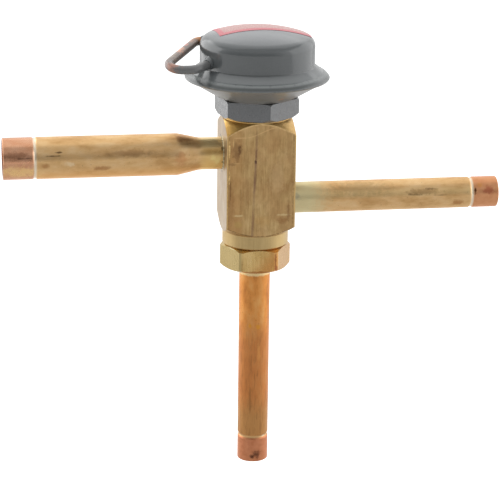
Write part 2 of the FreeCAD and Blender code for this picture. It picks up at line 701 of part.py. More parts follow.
def skirt_z(radius, depth=0):
    """Level of the skirt's sloping skin at a radius, at a depth below the outer skin."""
    slope = math.radians(SKIRT_ANGLE)
    return flange_top_z + (cup_flange_radius - radius) * math.tan(slope) - depth / math.cos(slope)


def crown_skin(depth):
    """Edges of the crown's section from its apex down its side and skirt to the rim, at a depth
    below the outer skin, with the first and last point. A negative depth is outside the skin."""
    cap_centre = FreeCAD.Vector(0, 0, crown_apex_z - CROWN_CAP_RADIUS)
    cap_radius = CROWN_CAP_RADIUS - depth
    shoulder_x = crown_radius - CROWN_SHOULDER_RADIUS
    cap_angle = math.asin(shoulder_x / (CROWN_CAP_RADIUS - CROWN_SHOULDER_RADIUS))
    apex = cap_centre + UP * cap_radius
    crest = cap_centre + tilted(cap_radius, cap_angle / 2)
    cap_end = cap_centre + tilted(cap_radius, cap_angle)
    shoulder = cap_centre + tilted(CROWN_CAP_RADIUS - CROWN_SHOULDER_RADIUS, cap_angle)
    shoulder_radius = CROWN_SHOULDER_RADIUS - depth
    shoulder_middle = shoulder + tilted(shoulder_radius, (cap_angle + math.pi / 2) / 2)
    side_top = shoulder + tilted(shoulder_radius, math.pi / 2)
    rim = FreeCAD.Vector(cup_flange_radius, 0, skirt_z(cup_flange_radius, depth))
    foot = FreeCAD.Vector(crown_radius - depth, 0, skirt_z(crown_radius - depth, depth))
    side_foot, bend, skirt_top = corner_arc(side_top, foot, rim, SKIRT_BEND + depth)
    edges = [
        Part.Arc(apex, crest, cap_end).toShape(),
        Part.Arc(cap_end, shoulder_middle, side_top).toShape(),
        Part.LineSegment(side_top, side_foot).toShape(),
        bend,
        Part.LineSegment(skirt_top, rim).toShape(),
    ]
    return edges, apex, rim


def tilted(length, angle):
    """Vector of a given length in the XZ plane, turned from +Z towards +X."""
    return FreeCAD.Vector(length * math.sin(angle), 0, length * math.cos(angle))


def make_crown_block(depth):
    """Solid crown on its rim, with its skin at a depth below the upper cup's outer skin."""
    edges, apex, rim = crown_skin(depth)
    corners = [
        rim,
        FreeCAD.Vector(cup_flange_radius, 0, lower_flange_z),
        FreeCAD.Vector(0, 0, lower_flange_z),
        apex,
    ]
    for start, end in zip(corners, corners[1:]):
        edges.append(Part.LineSegment(start, end).toShape())
    section = Part.Wire(Part.__sortEdges__(edges))
    return Part.Face(section).revolve(ORIGIN, UP, 360)


def make_crown_shell(outer_depth, inner_depth):
    """Sheet between two depths below the crown's outer skin."""
    return make_crown_block(outer_depth).cut(make_crown_block(inner_depth))


def make_upper_cup():
    """Deep-drawn cup: a shallow domed cap, an upright side holed for the charge tube, and a
    sloping skirt whose edge stands on the diaphragm."""
    below_rim = bore(cup_flange_radius + CUTTER_MARGIN, lower_flange_z, upper_flange_z)
    return make_crown_shell(0, UPPER_CUP_THICKNESS).cut([make_charge_hole(), below_rim])


def bulged_arc(start, end, bulge):
    """Arc in the XZ plane that stands a distance out to the left of the line from start to end,
    seen from -Y with +X to the right."""
    along = (end - start).normalize()
    middle = (start + end) / 2 + FreeCAD.Vector(-along.z, 0, along.x) * bulge
    return Part.Arc(start, middle, end).toShape()


def make_rim_weld():
    """Weld bead that joins the two cups and the diaphragm, and laps up over the skirt."""
    low = FreeCAD.Vector(cup_flange_radius, 0, lower_flange_z)
    edge = FreeCAD.Vector(cup_flange_radius, 0, flange_top_z)
    toe_radius = cup_flange_radius - RIM_WELD_TOE
    toe = FreeCAD.Vector(toe_radius, 0, skirt_z(toe_radius))
    crest = FreeCAD.Vector(cup_flange_radius + RIM_WELD_WIDTH, 0, (lower_flange_z + flange_top_z) / 2)
    edges = [
        bulged_arc(toe, crest, RIM_WELD_UPPER_BULGE),
        bulged_arc(crest, low, RIM_WELD_LOWER_BULGE),
        Part.LineSegment(low, edge).toShape(),
        Part.LineSegment(edge, toe).toShape(),
    ]
    return Part.Face(Part.Wire(edges)).revolve(ORIGIN, UP, 360)


def on_charge_plane(x, y):
    height = flange_top_z + CHARGE_TUBE_RISE + y * math.tan(math.radians(CHARGE_TUBE_TILT))
    return FreeCAD.Vector(x, y, height)


def charge_route():
    route = [(on_charge_plane(*CHARGE_TUBE_OUTLET), 0)]
    for x, y, radius in CHARGE_TUBE_BENDS:
        route.append((on_charge_plane(x, y), radius))
    route.append((on_charge_plane(*CHARGE_TUBE_TIP), 0))
    return route


def sweep_charge_tube(radius):
    route = charge_route()
    heading = route[1][0] - route[0][0]
    section = Part.Wire(Part.makeCircle(radius, route[0][0], heading))
    return rounded_route(route).makePipeShell([section], True, False)


def crown_crossing(point, heading):
    """Distance from a point inside the crown, along a heading, to the crown's side."""
    across = heading.x ** 2 + heading.y ** 2
    along = point.x * heading.x + point.y * heading.y
    inside = crown_radius ** 2 - point.x ** 2 - point.y ** 2
    return (math.sqrt(along ** 2 + across * inside) - along) / across


def charge_ends():
    """The two ends of the charge tube, each with its heading away from the crown's axis."""
    route = charge_route()
    outlet = route[0][0]
    tip = route[-1][0]
    return (
        (outlet, (route[1][0] - outlet).normalize()),
        (tip, (route[-2][0] - tip).normalize()),
    )


def make_charge_hole():
    """Hole through the crown's wall for the open end of the charge tube."""
    outlet, heading = charge_ends()[0]
    radius = CHARGE_TUBE_DIAMETER / 2 + BRAZE_GAP
    return Part.makeCylinder(radius, CHARGE_TUBE_DIAMETER, outlet - heading * CUTTER_MARGIN, heading)


def make_charge_tube():
    """Bent tube, open into the crown at the back and closed on the crown's face at the front."""
    outer_radius = CHARGE_TUBE_DIAMETER / 2
    tube = sweep_charge_tube(outer_radius)
    hollow = sweep_charge_tube(outer_radius - CHARGE_TUBE_WALL)
    tip, heading = charge_ends()[1]
    plug_length = crown_crossing(tip, heading) + CHARGE_PLUG_LENGTH
    plug = Part.makeCylinder(outer_radius, plug_length, tip, heading)
    corner = FreeCAD.Vector(-cup_flange_radius, -cup_flange_radius, lower_flange_z)
    front = Part.makeBox(CUP_FLANGE_DIAMETER, cup_flange_radius, 2 * CROWN_HEIGHT, corner)
    front_of_crown = make_crown_block(-PRESS_CLEARANCE).common(front)
    return tube.cut(hollow.cut(plug)).cut(front_of_crown)


def make_charge_braze():
    """Two flared collars of filler where the charge tube meets the crown's side."""
    tube_skin = CHARGE_TUBE_DIAMETER / 2
    cutter = make_crown_block(-BRAZE_GAP).fuse(sweep_charge_tube(tube_skin + BRAZE_GAP))
    collars = []
    for end, heading in charge_ends():
        collar = turned([
            (0, -CHARGE_COLLAR_DEPTH),
            (tube_skin + CHARGE_COLLAR_FLARE, -CHARGE_COLLAR_DEPTH),
            (tube_skin + CHARGE_COLLAR_TOE, 0, CHARGE_COLLAR_ROUND),
            (tube_skin + CHARGE_COLLAR_LIP, CHARGE_COLLAR_REACH),
            (0, CHARGE_COLLAR_REACH),
        ])
        surface = end + heading * crown_crossing(end, heading)
        collar.Placement = FreeCAD.Placement(surface, FreeCAD.Rotation(UP, heading))
        collars.append(collar.cut(cutter))
    return Part.makeCompound(collars)


def make_label():
    """Thin label that follows the crown's cap and is trimmed round where the crown turns down."""
    sheet = make_crown_shell(-LABEL_GAP - LABEL_THICKNESS, -LABEL_GAP)
    low_z = crown_apex_z - CROWN_HEIGHT / 2
    corner = FreeCAD.Vector(*LABEL_CORNER, low_z)
    blank = Part.makeBox(LABEL_LENGTH, LABEL_WIDTH, CROWN_HEIGHT, corner)
    blank.rotate(corner, UP, LABEL_TURN)
    return sheet.common(blank).common(bore(LABEL_REACH, low_z, crown_apex_z + CUTTER_MARGIN))


PARTS = {
    "valve_body": make_valve_body(),
    "upper_seat_ring": make_upper_seat_ring(),
    "bottom_adapter": make_bottom_adapter(),
    "adapter_gasket": make_adapter_gasket(),
    "element_gasket": make_element_gasket(),
    "element_hex": make_element_hex(),
    "lower_cup": make_lower_cup(),
    "upper_cup": make_upper_cup(),
    "diaphragm": make_diaphragm(),
    "rim_weld": make_rim_weld(),
    "charge_tube": make_charge_tube(),
    "charge_tube_braze": make_charge_braze(),
    "label": make_label(),
    "rod_guide": make_rod_guide(),
    "guide_clip": make_guide_clip(),
    "buffer_plate": make_buffer_plate(),
    "push_rod": make_push_rod(),
    "poppet": make_poppet(),
    "lower_seal_ring": make_seal_ring(lower_seat_z),
    "upper_seal_ring": make_seal_ring(poppet_top_z - SEAL_RING_THICKNESS),
    "retaining_washers": make_retaining_washers(),
    "poppet_nut": make_poppet_nut(),
    "return_spring": make_return_spring(),
    "bypass_tube": make_bypass_tube(),
    "receiver_tube": make_receiver_tube(),
    "condenser_tube": make_condenser_tube(),
    "bypass_braze": make_port_braze(neck_radius, -1, bypass_z),
    "receiver_braze": make_port_braze(small_tube_radius, 1, receiver_z),
    "condenser_braze": make_condenser_braze(),
}

os.makedirs("parts", exist_ok=True)
for name, shape in PARTS.items():
    shape.exportStep("parts/" + name + ".step")
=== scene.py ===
import math

import bpy
from mathutils import Matrix, Vector


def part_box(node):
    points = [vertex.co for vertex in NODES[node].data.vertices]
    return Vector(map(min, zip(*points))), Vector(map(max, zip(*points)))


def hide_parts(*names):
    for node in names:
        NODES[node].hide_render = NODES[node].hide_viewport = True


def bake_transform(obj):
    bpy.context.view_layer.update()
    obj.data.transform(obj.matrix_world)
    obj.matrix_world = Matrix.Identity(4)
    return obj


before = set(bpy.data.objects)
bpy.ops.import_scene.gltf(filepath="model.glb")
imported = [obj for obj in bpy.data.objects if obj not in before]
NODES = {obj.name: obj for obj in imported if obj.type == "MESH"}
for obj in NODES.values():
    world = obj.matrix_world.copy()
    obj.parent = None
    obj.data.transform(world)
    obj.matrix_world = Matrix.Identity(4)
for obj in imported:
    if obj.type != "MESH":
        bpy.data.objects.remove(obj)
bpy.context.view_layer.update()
MM = 0.001
X, Y, Z = range(3)


def lowest(node, axis):
    """Where a node's box starts on an axis."""
    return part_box(node)[0][axis]


def highest(node, axis):
    """Where a node's box ends on an axis."""
    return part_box(node)[1][axis]


# Places and sizes that the finishes follow, in metres and degrees, in the part's own frame.
BODY_HALF_WIDTH = highest("valve_body", X)
COLLAR_HEIGHT = 7.7 * MM
COLLAR_TOP = lowest("valve_body", Z) + COLLAR_HEIGHT
COLLAR_RADIUS = 19.08 * MM
TOP_RIM_RADIUS = 19.65 * MM
TOP_RIM_HEIGHT = 0.8 * MM
TOP_RIM_FOOT = highest("valve_body", Z) - TOP_RIM_HEIGHT
LOWER_CONE_ANGLE = 33.0
UPPER_CONE_ANGLE = 40.4
ADAPTER_BOTTOM = lowest("bottom_adapter", Z)
SMALL_GROOVE_DEPTH = 15.5 * MM
LARGE_GROOVE_DEPTH = 17.9 * MM
CONDENSER_GROOVE = lowest("condenser_tube", Z) + SMALL_GROOVE_DEPTH
RECEIVER_GROOVE = highest("receiver_tube", X) - SMALL_GROOVE_DEPTH
BYPASS_GROOVE = lowest("bypass_tube", X) + LARGE_GROOVE_DEPTH
BYPASS_HEIGHT = (lowest("bypass_tube", Z) + highest("bypass_tube", Z)) / 2
NECK_END = -33.2 * MM
CROWN_FOOT = 239.7 * MM
CROWN_SHOULDER = 253.5 * MM
WELD_TOE = highest("rim_weld", Z)
RIM_MIDDLE = highest("lower_cup", Z)
LABEL_CORNER = (-22.6 * MM, -7.9 * MM)
LABEL_TURN = 2.4

# Camera, solved from the photograph.
CAMERA_DISTANCE = 1220.8 * MM
CAMERA_ELEVATION = 17.48
CAMERA_AZIMUTH = 8.99
CAMERA_ROLL = 0.71
CAMERA_TARGET_HEIGHT = 129.36 * MM
CAMERA_TARGET_SIDE = -2.82 * MM
FOCAL_PIXELS = 2100.0
IMAGE_PIXELS = 500.0
SENSOR_MM = 36.0

# White floor with a painted shade pool ahead of the object, lighter behind it, and what camera rays
# get on top.
FLOOR_LEVEL = -0.2
FLOOR_FRONT = 0.5
FLOOR_BACK = 0.8
FLOOR_POOL = (-0.2, -0.7, 0.0)
FLOOR_POOL_EDGE = (0.7, 1.4)
FLOOR_SEEN = 1.35
FLOOR_LIT = 0.95

# Room that gloss sees: dark ahead of the object, less so above a height, and white elsewhere.
ROOM_AZIMUTH = -22.0
ROOM_EDGE_DOT = 0.1
ROOM_CORE_DOT = 0.8
ROOM_TOP_START = 0.35
ROOM_TOP_END = 0.85
ROOM_GLOSS = 0.31
ROOM_TOP = 0.52
WORLD_GLOSS = 1.0

# Fill that all but gloss gets: weak from the front, stronger from above and behind.
FILL_WAY = (0.1, 0.5, 0.86)
FILL_EDGE_DOT = -0.2
FILL_CORE_DOT = 0.95
FILL_FRONT = 0.42
FILL_TOP = 1.25

# Softboxes: name, place, height of the point on the axis that it faces, size and watts.
SOFTBOXES = [
    ("softbox_top", (0.0, 0.5, 1.2), 0.16, (1.8, 1.6), 4.0),
    ("softbox_left", (-0.81, 0.55, 0.46), 0.3, (1.4, 1.0), 4.5),
    ("softbox_right", (1.35, 0.2, 0.5), 0.2, (2.0, 1.4), 5.0),
]

# Seam drawn down the front of the bar, as its upper end and its sideways slope, and the levels of a
# painted highlight in a light arc across the front, at the arc's left and right end.
SEAM_TOP = 207.0 * MM
SEAM_SIDE = -2.6 * MM
SEAM_SLOPE = 2.3 / 64.0
ARC_LOW = 201.8 * MM
ARC_HIGH = 207.2 * MM

# Where changes of the finish start and end, on the bar first and then on the other pieces.
FACE_DEPTHS = (0.02 * MM, 0.2 * MM)
AMBER_SIDE = (-14 * MM, -8 * MM)
UPPER_RUN_OUT_HIGHLIGHT = (0.2 * MM, 1.6 * MM)
LOWER_RUN_OUT_DARK = (0.2 * MM, 0.9 * MM)
ARC_SIDES = (-9 * MM, 9 * MM)
ARC_REACH = (-15 * MM, 8 * MM)
ARC_WIDTHS = (0.1 * MM, 0.55 * MM)
SEAM_WIDTHS = (0.15 * MM, 1.2 * MM)
SEAM_FAINTER = (190 * MM, 206 * MM)
SEAM_BEND = 0.8 * MM
EDGE_RUBBED = (19.6 * MM, 20.2 * MM)
EDGE_STRIP = (17.9 * MM, 18.9 * MM)
UPPER_CONE_START = (196 * MM, 200 * MM)
CONE_LEFT_SIDE = (-18 * MM, 4 * MM)
ADAPTER_LEFT_CORNER = (-11.5 * MM, -9.0 * MM)
ADAPTER_RIGHT_CORNER = (10.4 * MM, 11.6 * MM)
HEAT_SLANT = -0.7
HEAT_EDGE = (-92 * MM, -76 * MM)
RECEIVER_SHEEN = (162.0 * MM, 165.6 * MM)
RECEIVER_BLOOM = (34 * MM, 52 * MM)
BROWN_LEVELS = (78 * MM, 104 * MM)
OLIVE_LEVELS = (34 * MM, 52 * MM)
BACK_LEG = (-16 * MM, -8 * MM)
LABEL_END_BORDER = (2.6 * MM, 3.4 * MM)
LABEL_SIDE_BORDER = (3.0 * MM, 5.0 * MM)

# How far the wobble moves a spot's edge, and how soft that edge is, as shares of its radius.
SPOT_WOBBLE = 1.6
SPOT_SOFT = 0.7

# Widths of rounded edges, and the smallest turn in degrees that counts as an edge.
BRASS_EDGE = 0.18 * MM
HEXAGON_EDGE = 0.5 * MM
BRAZE_EDGE = 0.25 * MM
SMALLEST_TURN = 30.0


def srgb(red, green, blue):
    """Linear colour with alpha from 0 to 255 display values."""
    linear = []
    for value in (red, green, blue):
        share = value / 255
        linear.append(share / 12.92 if share <= 0.04045 else ((share + 0.055) / 1.055) ** 2.4)
    return (*linear, 1.0)


def gray(level):
    """Linear gray with alpha."""
    return (level, level, level, 1.0)


ENAMEL_DARK = srgb(80, 84, 86)
ENAMEL_LIGHT = srgb(89, 93, 94)
# Near-white painted highlight laid into the tubes' grooves.
GROOVE_HIGHLIGHT = srgb(255, 244, 222)
TAN_COPPER = [
    (0.36, srgb(208, 162, 106)),
    (0.5, srgb(232, 190, 134)),
    (0.66, srgb(242, 206, 154)),
]
ORANGE_COPPER = [
    (0.36, srgb(198, 128, 68)),
    (0.5, srgb(230, 156, 84)),
    (0.66, srgb(240, 182, 112)),
]


class Nodes:
    """Short calls for the nodes of one tree. What they take is a number, a colour or a socket."""

    def __init__(self, tree, place):
        self.tree = tree
        self.place = self.node("ShaderNodeTexCoord").outputs[place]

    def node(self, kind, **settings):
        made = self.tree.nodes.new(kind)
        for key, value in settings.items():
            setattr(made, key, value)
        return made

    def feed(self, socket, value):
        """Join a socket to another, or set its value."""
        if isinstance(value, bpy.types.NodeSocket):
            self.tree.links.new(value, socket)
        else:
            socket.default_value = value

    def math(self, operation, *values):
        made = self.node("ShaderNodeMath", operation=operation)
        for socket, value in zip(made.inputs, values):
            self.feed(socket, value)
        return made.outputs[0]

    def times(self, product, *factors):
        """Product of two or more values."""
        for factor in factors:
            product = self.math("MULTIPLY", product, factor)
        return product

    def less(self, share):
        """What a share leaves of 1."""
        return self.math("SUBTRACT", 1.0, share)

    def vector(self, operation, first, second=(0, 0, 0)):
        """Vector arithmetic. Its outputs are Vector and, for lengths and the like, Value."""
        made = self.node("ShaderNodeVectorMath", operation=operation)
        self.feed(made.inputs[0], first)
        self.feed(made.inputs[1], second)
        return made.outputs

    def axis(self, index):
        parts = self.node("ShaderNodeSeparateXYZ")
        self.feed(parts.inputs[0], self.place)
        return parts.outputs[index]

    def ease(self, value, low, high, to_low=0.0, to_high=1.0):
        """Smooth step from to_low at low to to_high at high."""
        made = self.node("ShaderNodeMapRange", interpolation_type="SMOOTHSTEP")
        self.feed(made.inputs["Value"], value)
        made.inputs["From Min"].default_value = low
        made.inputs["From Max"].default_value = high
        made.inputs["To Min"].default_value = to_low
        made.inputs["To Max"].default_value = to_high
        return made.outputs["Result"]

    def fade(self, value, low, high):
        """Smooth step from 1 at low down to 0 at high."""
        return self.ease(value, low, high, 1.0, 0.0)

    def band(self, value, low, high, soft):
        """1 between low and high, with soft edges."""
        rising = self.ease(value, low - soft, low + soft)
        falling = self.fade(value, high - soft, high + soft)
        return self.times(rising, falling)

    def mix(self, share, first, second):
        made = self.node("ShaderNodeMix", data_type="RGBA")
        self.feed(made.inputs["Factor"], share)
        self.feed(made.inputs["A"], first)
        self.feed(made.inputs["B"], second)
        return made.outputs["Result"]


class Finish(Nodes):
    """A node material, with short calls for what the finishes are made of."""

    def __init__(self, name):
        self.material = bpy.data.materials.new(name)
        self.material.use_nodes = True
        super().__init__(self.material.node_tree, "Object")
        self.shader = self.tree.nodes["Principled BSDF"]

    def scaled(self, scale, offset=(0, 0, 0)):
        """Position with its own scale on each axis, then moved by an offset."""
        made = self.node("ShaderNodeMapping", vector_type="POINT")
        self.feed(made.inputs["Vector"], self.place)
        made.inputs["Scale"].default_value = scale
        made.inputs["Location"].default_value = offset
        return made.outputs[0]

    def noise(self, size, detail=3.0, roughness=0.5, stretch=(1, 1, 1), seed=0.0):
        """Noise with features of about the given size in metres. A stretch of 10 on an axis draws
        the features out ten times along it."""
        scale = tuple(1 / (size * factor) for factor in stretch)
        made = self.node("ShaderNodeTexNoise")
        self.feed(made.inputs["Vector"], self.scaled(scale, (seed, seed * 1.7, seed * 0.6)))
        made.inputs["Scale"].default_value = 1.0
        made.inputs["Detail"].default_value = detail
        made.inputs["Roughness"].default_value = roughness
        return made.outputs["Fac"]

    def uneven(self, size, low, high, seed):
        """A level that drifts from low to high over patches of about the given size in metres."""
        return self.ease(self.noise(size, detail=3, seed=seed), 0.3, 0.7, low, high)

    def ramp(self, value, stops):
        """Colour by value. Each stop is (value, colour)."""
        made = self.node("ShaderNodeValToRGB")
        self.feed(made.inputs[0], value)
        points = made.color_ramp.elements
        while len(points) < len(stops):
            points.new(0.5)
        for point, (position, colour) in zip(points, stops):
            point.position = position
            point.color = colour
        return made.outputs[0]

    def spot(self, centre, radius, wobble, stretch):
        """1 near a point given in millimetres, falling to 0 at the radius, also in millimetres.
        The wobble is a value that moves the edge, and a stretch draws the spot out on an axis."""
        away = self.vector("SUBTRACT", self.place, [value * MM for value in centre])
        reach = [value * radius * MM for value in stretch]
        drawn = self.vector("DIVIDE", away["Vector"], reach)
        distance = self.vector("LENGTH", drawn["Vector"])["Value"]
        if wobble:
            moved = self.math("MULTIPLY_ADD", wobble, SPOT_WOBBLE, -SPOT_WOBBLE / 2)
            distance = self.math("ADD", distance, moved)
        return self.fade(distance, 1 - SPOT_SOFT, 1.0)

    def spots(self, colour, marks, wobble=None):
        """Lay marks over a colour. Each is (centre, radius, colour, strength, stretch)."""
        for centre, radius, tint, strength, stretch in marks:
            share = self.spot(centre, radius, wobble, stretch)
            colour = self.mix(self.times(share, strength), colour, tint)
        return colour

    def bump(self, height, distance, under=None):
        """Relief as deep as a distance in metres, laid over another relief if one is given."""
        made = self.node("ShaderNodeBump")
        made.inputs["Strength"].default_value = 1.0
        made.inputs["Distance"].default_value = distance
        self.feed(made.inputs["Height"], height)
        if under:
            self.feed(made.inputs["Normal"], under)
        return made.outputs[0]

    def finish(self, **inputs):
        """Set the shader's inputs by name, with spaces written as underscores."""
        for key, value in inputs.items():
            self.feed(self.shader.inputs[key.replace("_", " ")], value)
        return self.material

    def metal(self, colour, roughness, relief):
        return self.finish(Base_Color=colour, Metallic=1.0, Roughness=roughness, Normal=relief)


def enamel_base(f, dark, light):
    """Gray enamel colour with a slow drift, a few dust specks and a slightly wavy skin."""
    drift = f.noise(26 * MM, detail=2)
    colour = f.mix(drift, dark, light)
    speck = f.ease(f.noise(0.8 * MM, detail=2, seed=3), 0.74, 0.8)
    colour = f.mix(f.times(speck, 0.3), colour, srgb(60, 58, 56))
    skin = f.bump(f.noise(6 * MM, detail=2), 0.09 * MM)
    skin = f.bump(f.noise(1.2 * MM, detail=2), 0.008 * MM, under=skin)
    return colour, skin


def enamel_crown():
    """Glossy enamel of the head's upper cup, with painted shade in the creases at the crown's foot
    and at the weld's toe, and painted light that makes the skirt between them and the dome's top
    lighter than the wall.
    """
    f = Finish("enamel_crown")
    colour, skin = enamel_base(f, ENAMEL_DARK, ENAMEL_LIGHT)
    z = f.axis(Z)
    # Painted shade: thin dark bands in the creases at the crown's foot and at the weld's toe.
    foot = f.band(z, CROWN_FOOT, CROWN_FOOT + 0.5 * MM, 0.3 * MM)
    toe = f.band(z, WELD_TOE, WELD_TOE + 0.25 * MM, 0.15 * MM)
    crease_shade = f.math("MAXIMUM", f.times(foot, 0.5), f.times(toe, 0.8))
    colour = f.mix(crease_shade, colour, srgb(46, 48, 48))
    # Painted light: the upward-facing band between the weld's toe and the crown's foot is made
    # lighter.
    skirt = f.times(
        f.ease(z, WELD_TOE + 1.2 * MM, CROWN_FOOT, 0.8, 0.2),
        f.fade(z, CROWN_FOOT, CROWN_FOOT + 0.3 * MM),
    )
    colour = f.mix(skirt, colour, srgb(104, 108, 109))
    # Painted highlight: the top of the crown is made lighter than the wall below it.
    dome = f.ease(z, CROWN_SHOULDER + 1 * MM, CROWN_SHOULDER + 5 * MM)
    colour = f.mix(dome, colour, srgb(117, 120, 122))
    shine = f.uneven(14 * MM, 0.13, 0.2, seed=8)
    return f.finish(Base_Color=colour, Roughness=shine, Normal=skin, Specular_IOR_Level=0.95)


def enamel_rim():
    """Enamel on the weld bead, with runs of thicker paint, the cone's warm painted reflection of
    the brass below its crest, a band of painted shade, and a painted highlight line under the
    weld's toe.
    """
    f = Finish("enamel_rim")
    colour, skin = enamel_base(f, srgb(94, 99, 99), srgb(108, 113, 113))
    z = f.axis(Z)
    # Painted reflection: below its crest the bead takes the cone's warm colour, standing in for the
    # brass below.
    under = f.fade(z, RIM_MIDDLE - 0.3 * MM, RIM_MIDDLE + 0.1 * MM)
    colour = f.mix(under, colour, srgb(122, 118, 110))
    # Painted shade: a darker band across the bead.
    shade = f.band(z, RIM_MIDDLE + 0.5 * MM, WELD_TOE - 1.4 * MM, 0.4 * MM)
    colour = f.mix(f.times(shade, 0.8), colour, srgb(64, 68, 68))
    # Painted highlight: a lighter line just under the weld's toe.
    sheen = f.band(z, WELD_TOE - 0.9 * MM, WELD_TOE - 0.3 * MM, 0.3 * MM)
    colour = f.mix(f.times(sheen, 0.35), colour, srgb(128, 133, 133))
    runs = f.noise(2.4 * MM, detail=3, stretch=(1, 1, 4), seed=4)
    colour = f.mix(f.times(f.ease(runs, 0.5, 0.7), 0.4), colour, srgb(74, 77, 77))
    skin = f.bump(runs, 0.12 * MM, under=skin)
    return f.finish(Base_Color=colour, Roughness=0.24, Normal=skin, Specular_IOR_Level=0.9)


def enamel_cone():
    """Enamel under the head, warmer and lighter than the crown's as a painted reflection of the
    brass below, with faint green and orange tints.
    """
    f = Finish("enamel_cone")
    # Painted reflection: this enamel is given a warmer, lighter colour, standing in for the brass
    # it faces.
    colour, skin = enamel_base(f, srgb(116, 114, 109), srgb(132, 128, 121))
    wobble = f.noise(2.2 * MM, detail=3, seed=6)
    colour = f.spots(colour, [
        ((-21.0, -18.4, 225.6), 4.0, srgb(112, 118, 88), 0.5, (1, 1, 0.6)),
        ((9.4, -26.8, 225.0), 2.6, srgb(170, 112, 74), 0.55, (1, 1, 0.6)),
        ((-2.0, -28.4, 225.6), 3.4, srgb(118, 112, 90), 0.4, (2, 1, 0.6)),
    ], wobble)
    return f.finish(Base_Color=colour, Roughness=0.3, Normal=skin, Specular_IOR_Level=0.5)


def enamel_hex():
    """Thick, lumpy enamel on the hexagon, dark at its corners and rubbed brown at one of them."""
    f = Finish("enamel_hex")
    colour, skin = enamel_base(f, srgb(95, 97, 99), srgb(106, 108, 110))
    wobble = f.noise(1.6 * MM, detail=3, seed=9)
    colour = f.spots(colour, [
        ((-17.5, -14.2, 218.0), 1.3, srgb(48, 47, 45), 0.75, (1, 1, 2.2)),
        ((2.8, -21.8, 217.2), 1.5, srgb(50, 50, 50), 0.7, (1.5, 1, 0.5)),
        ((-18.4, -13.0, 214.9), 1.5, srgb(120, 84, 56), 0.6, (1, 1, 1.6)),
        ((11.0, -19.4, 216.2), 1.2, srgb(58, 58, 58), 0.6, (1, 1, 1.4)),
    ], wobble)
    lumps = f.noise(3.4 * MM, detail=3, roughness=0.6, seed=2)
    skin = f.bump(lumps, 0.35 * MM, under=skin)
    shine = f.uneven(7 * MM, 0.2, 0.34, seed=8)
    return f.finish(
        Base_Color=colour,
        Roughness=shine,
        Normal=skin,
        Specular_IOR_Level=0.9,
        Coat_Weight=0.6,
        Coat_Roughness=0.2,
    )


def worn_enamel_tube():
    """Enamel on the charge tube, worn to a brown film and salmon patches along its back leg."""
    f = Finish("worn_enamel_tube")
    paint_colour, skin = enamel_base(f, srgb(96, 97, 97), srgb(112, 112, 112))
    edge = f.noise(2.6 * MM, detail=3, seed=5)
    back_leg = f.ease(f.math("MULTIPLY_ADD", edge, 8 * MM, f.axis(Y)), *BACK_LEG)
    colour = f.mix(f.times(back_leg, 0.85), paint_colour, srgb(134, 120, 112))
    colour = f.spots(colour, [
        ((-31.0, 20.0, 250.0), 9.0, srgb(118, 82, 56), 1.0, (1, 1, 1)),
        ((-32.5, 17.5, 252.0), 3.4, srgb(206, 140, 84), 0.8, (1, 1, 1)),
        ((-37.0, 13.5, 251.0), 4.0, srgb(184, 138, 112), 0.8, (1, 1.2, 1)),
        ((-41.0, 7.6, 250.2), 3.4, srgb(204, 130, 114), 0.85, (1, 1, 1)),
        ((-45.0, 0.6, 248.8), 4.6, srgb(220, 160, 130), 0.95, (1, 1.2, 1)),
        ((-49.6, -7.6, 247.0), 4.4, srgb(158, 140, 124), 0.7, (1, 1.2, 1)),
        ((-50.0, -20.6, 244.2), 5.2, srgb(166, 116, 96), 0.95, (1.2, 1, 1)),
        ((-54.0, -14.0, 243.4), 4.4, srgb(150, 124, 114), 0.7, (1, 1.4, 1)),
    ], edge)
    skin = f.bump(edge, 0.05 * MM, under=skin)
    return f.finish(Base_Color=colour, Roughness=0.26, Normal=skin, Specular_IOR_Level=0.9)


def brass_tone(f, stretch, stops):
    """Aged brass whose tool marks are drawn out along one axis, with cloudy patches."""
    streaks = f.noise(0.9 * MM, detail=5, roughness=0.65, stretch=stretch)
    patches = f.noise(9 * MM, detail=4, roughness=0.6, stretch=(1, 1, 1.6), seed=5)
    blend = f.math("MULTIPLY_ADD", streaks, 0.5, f.times(patches, 0.5))
    return f.ramp(blend, stops), streaks


def flat_side(f, axis):
    """1 on the bar's flat side that faces back along an axis."""
    start, end = (-BODY_HALF_WIDTH + depth for depth in FACE_DEPTHS)
    return f.fade(f.axis(axis), start, end)


def on_side(axis, marks):
    """Set marks that have two coordinates on the bar's flat side that faces back along an axis."""
    placed = []
    for place, radius, tint, strength, stretch in marks:
        centre = list(place)
        centre.insert(axis, -BODY_HALF_WIDTH / MM)
        drawn = list(stretch)
        drawn.insert(axis, 1)
        placed.append((centre, radius, tint, strength, drawn))
    return placed


def inside_cone(f, radius, level, angle):
    """Distance inward from a cone about the valve's axis. The cone has the given radius at a
    level and rises outward by its angle, or inward if the angle is negative."""
    slope = math.tan(math.radians(angle))
    cone = f.math("MULTIPLY_ADD", f.axis(Z), 1 / slope, radius - level / slope)
    return f.math("SUBTRACT", cone, f.vector("LENGTH", f.scaled((1, 1, 0)))["Value"])


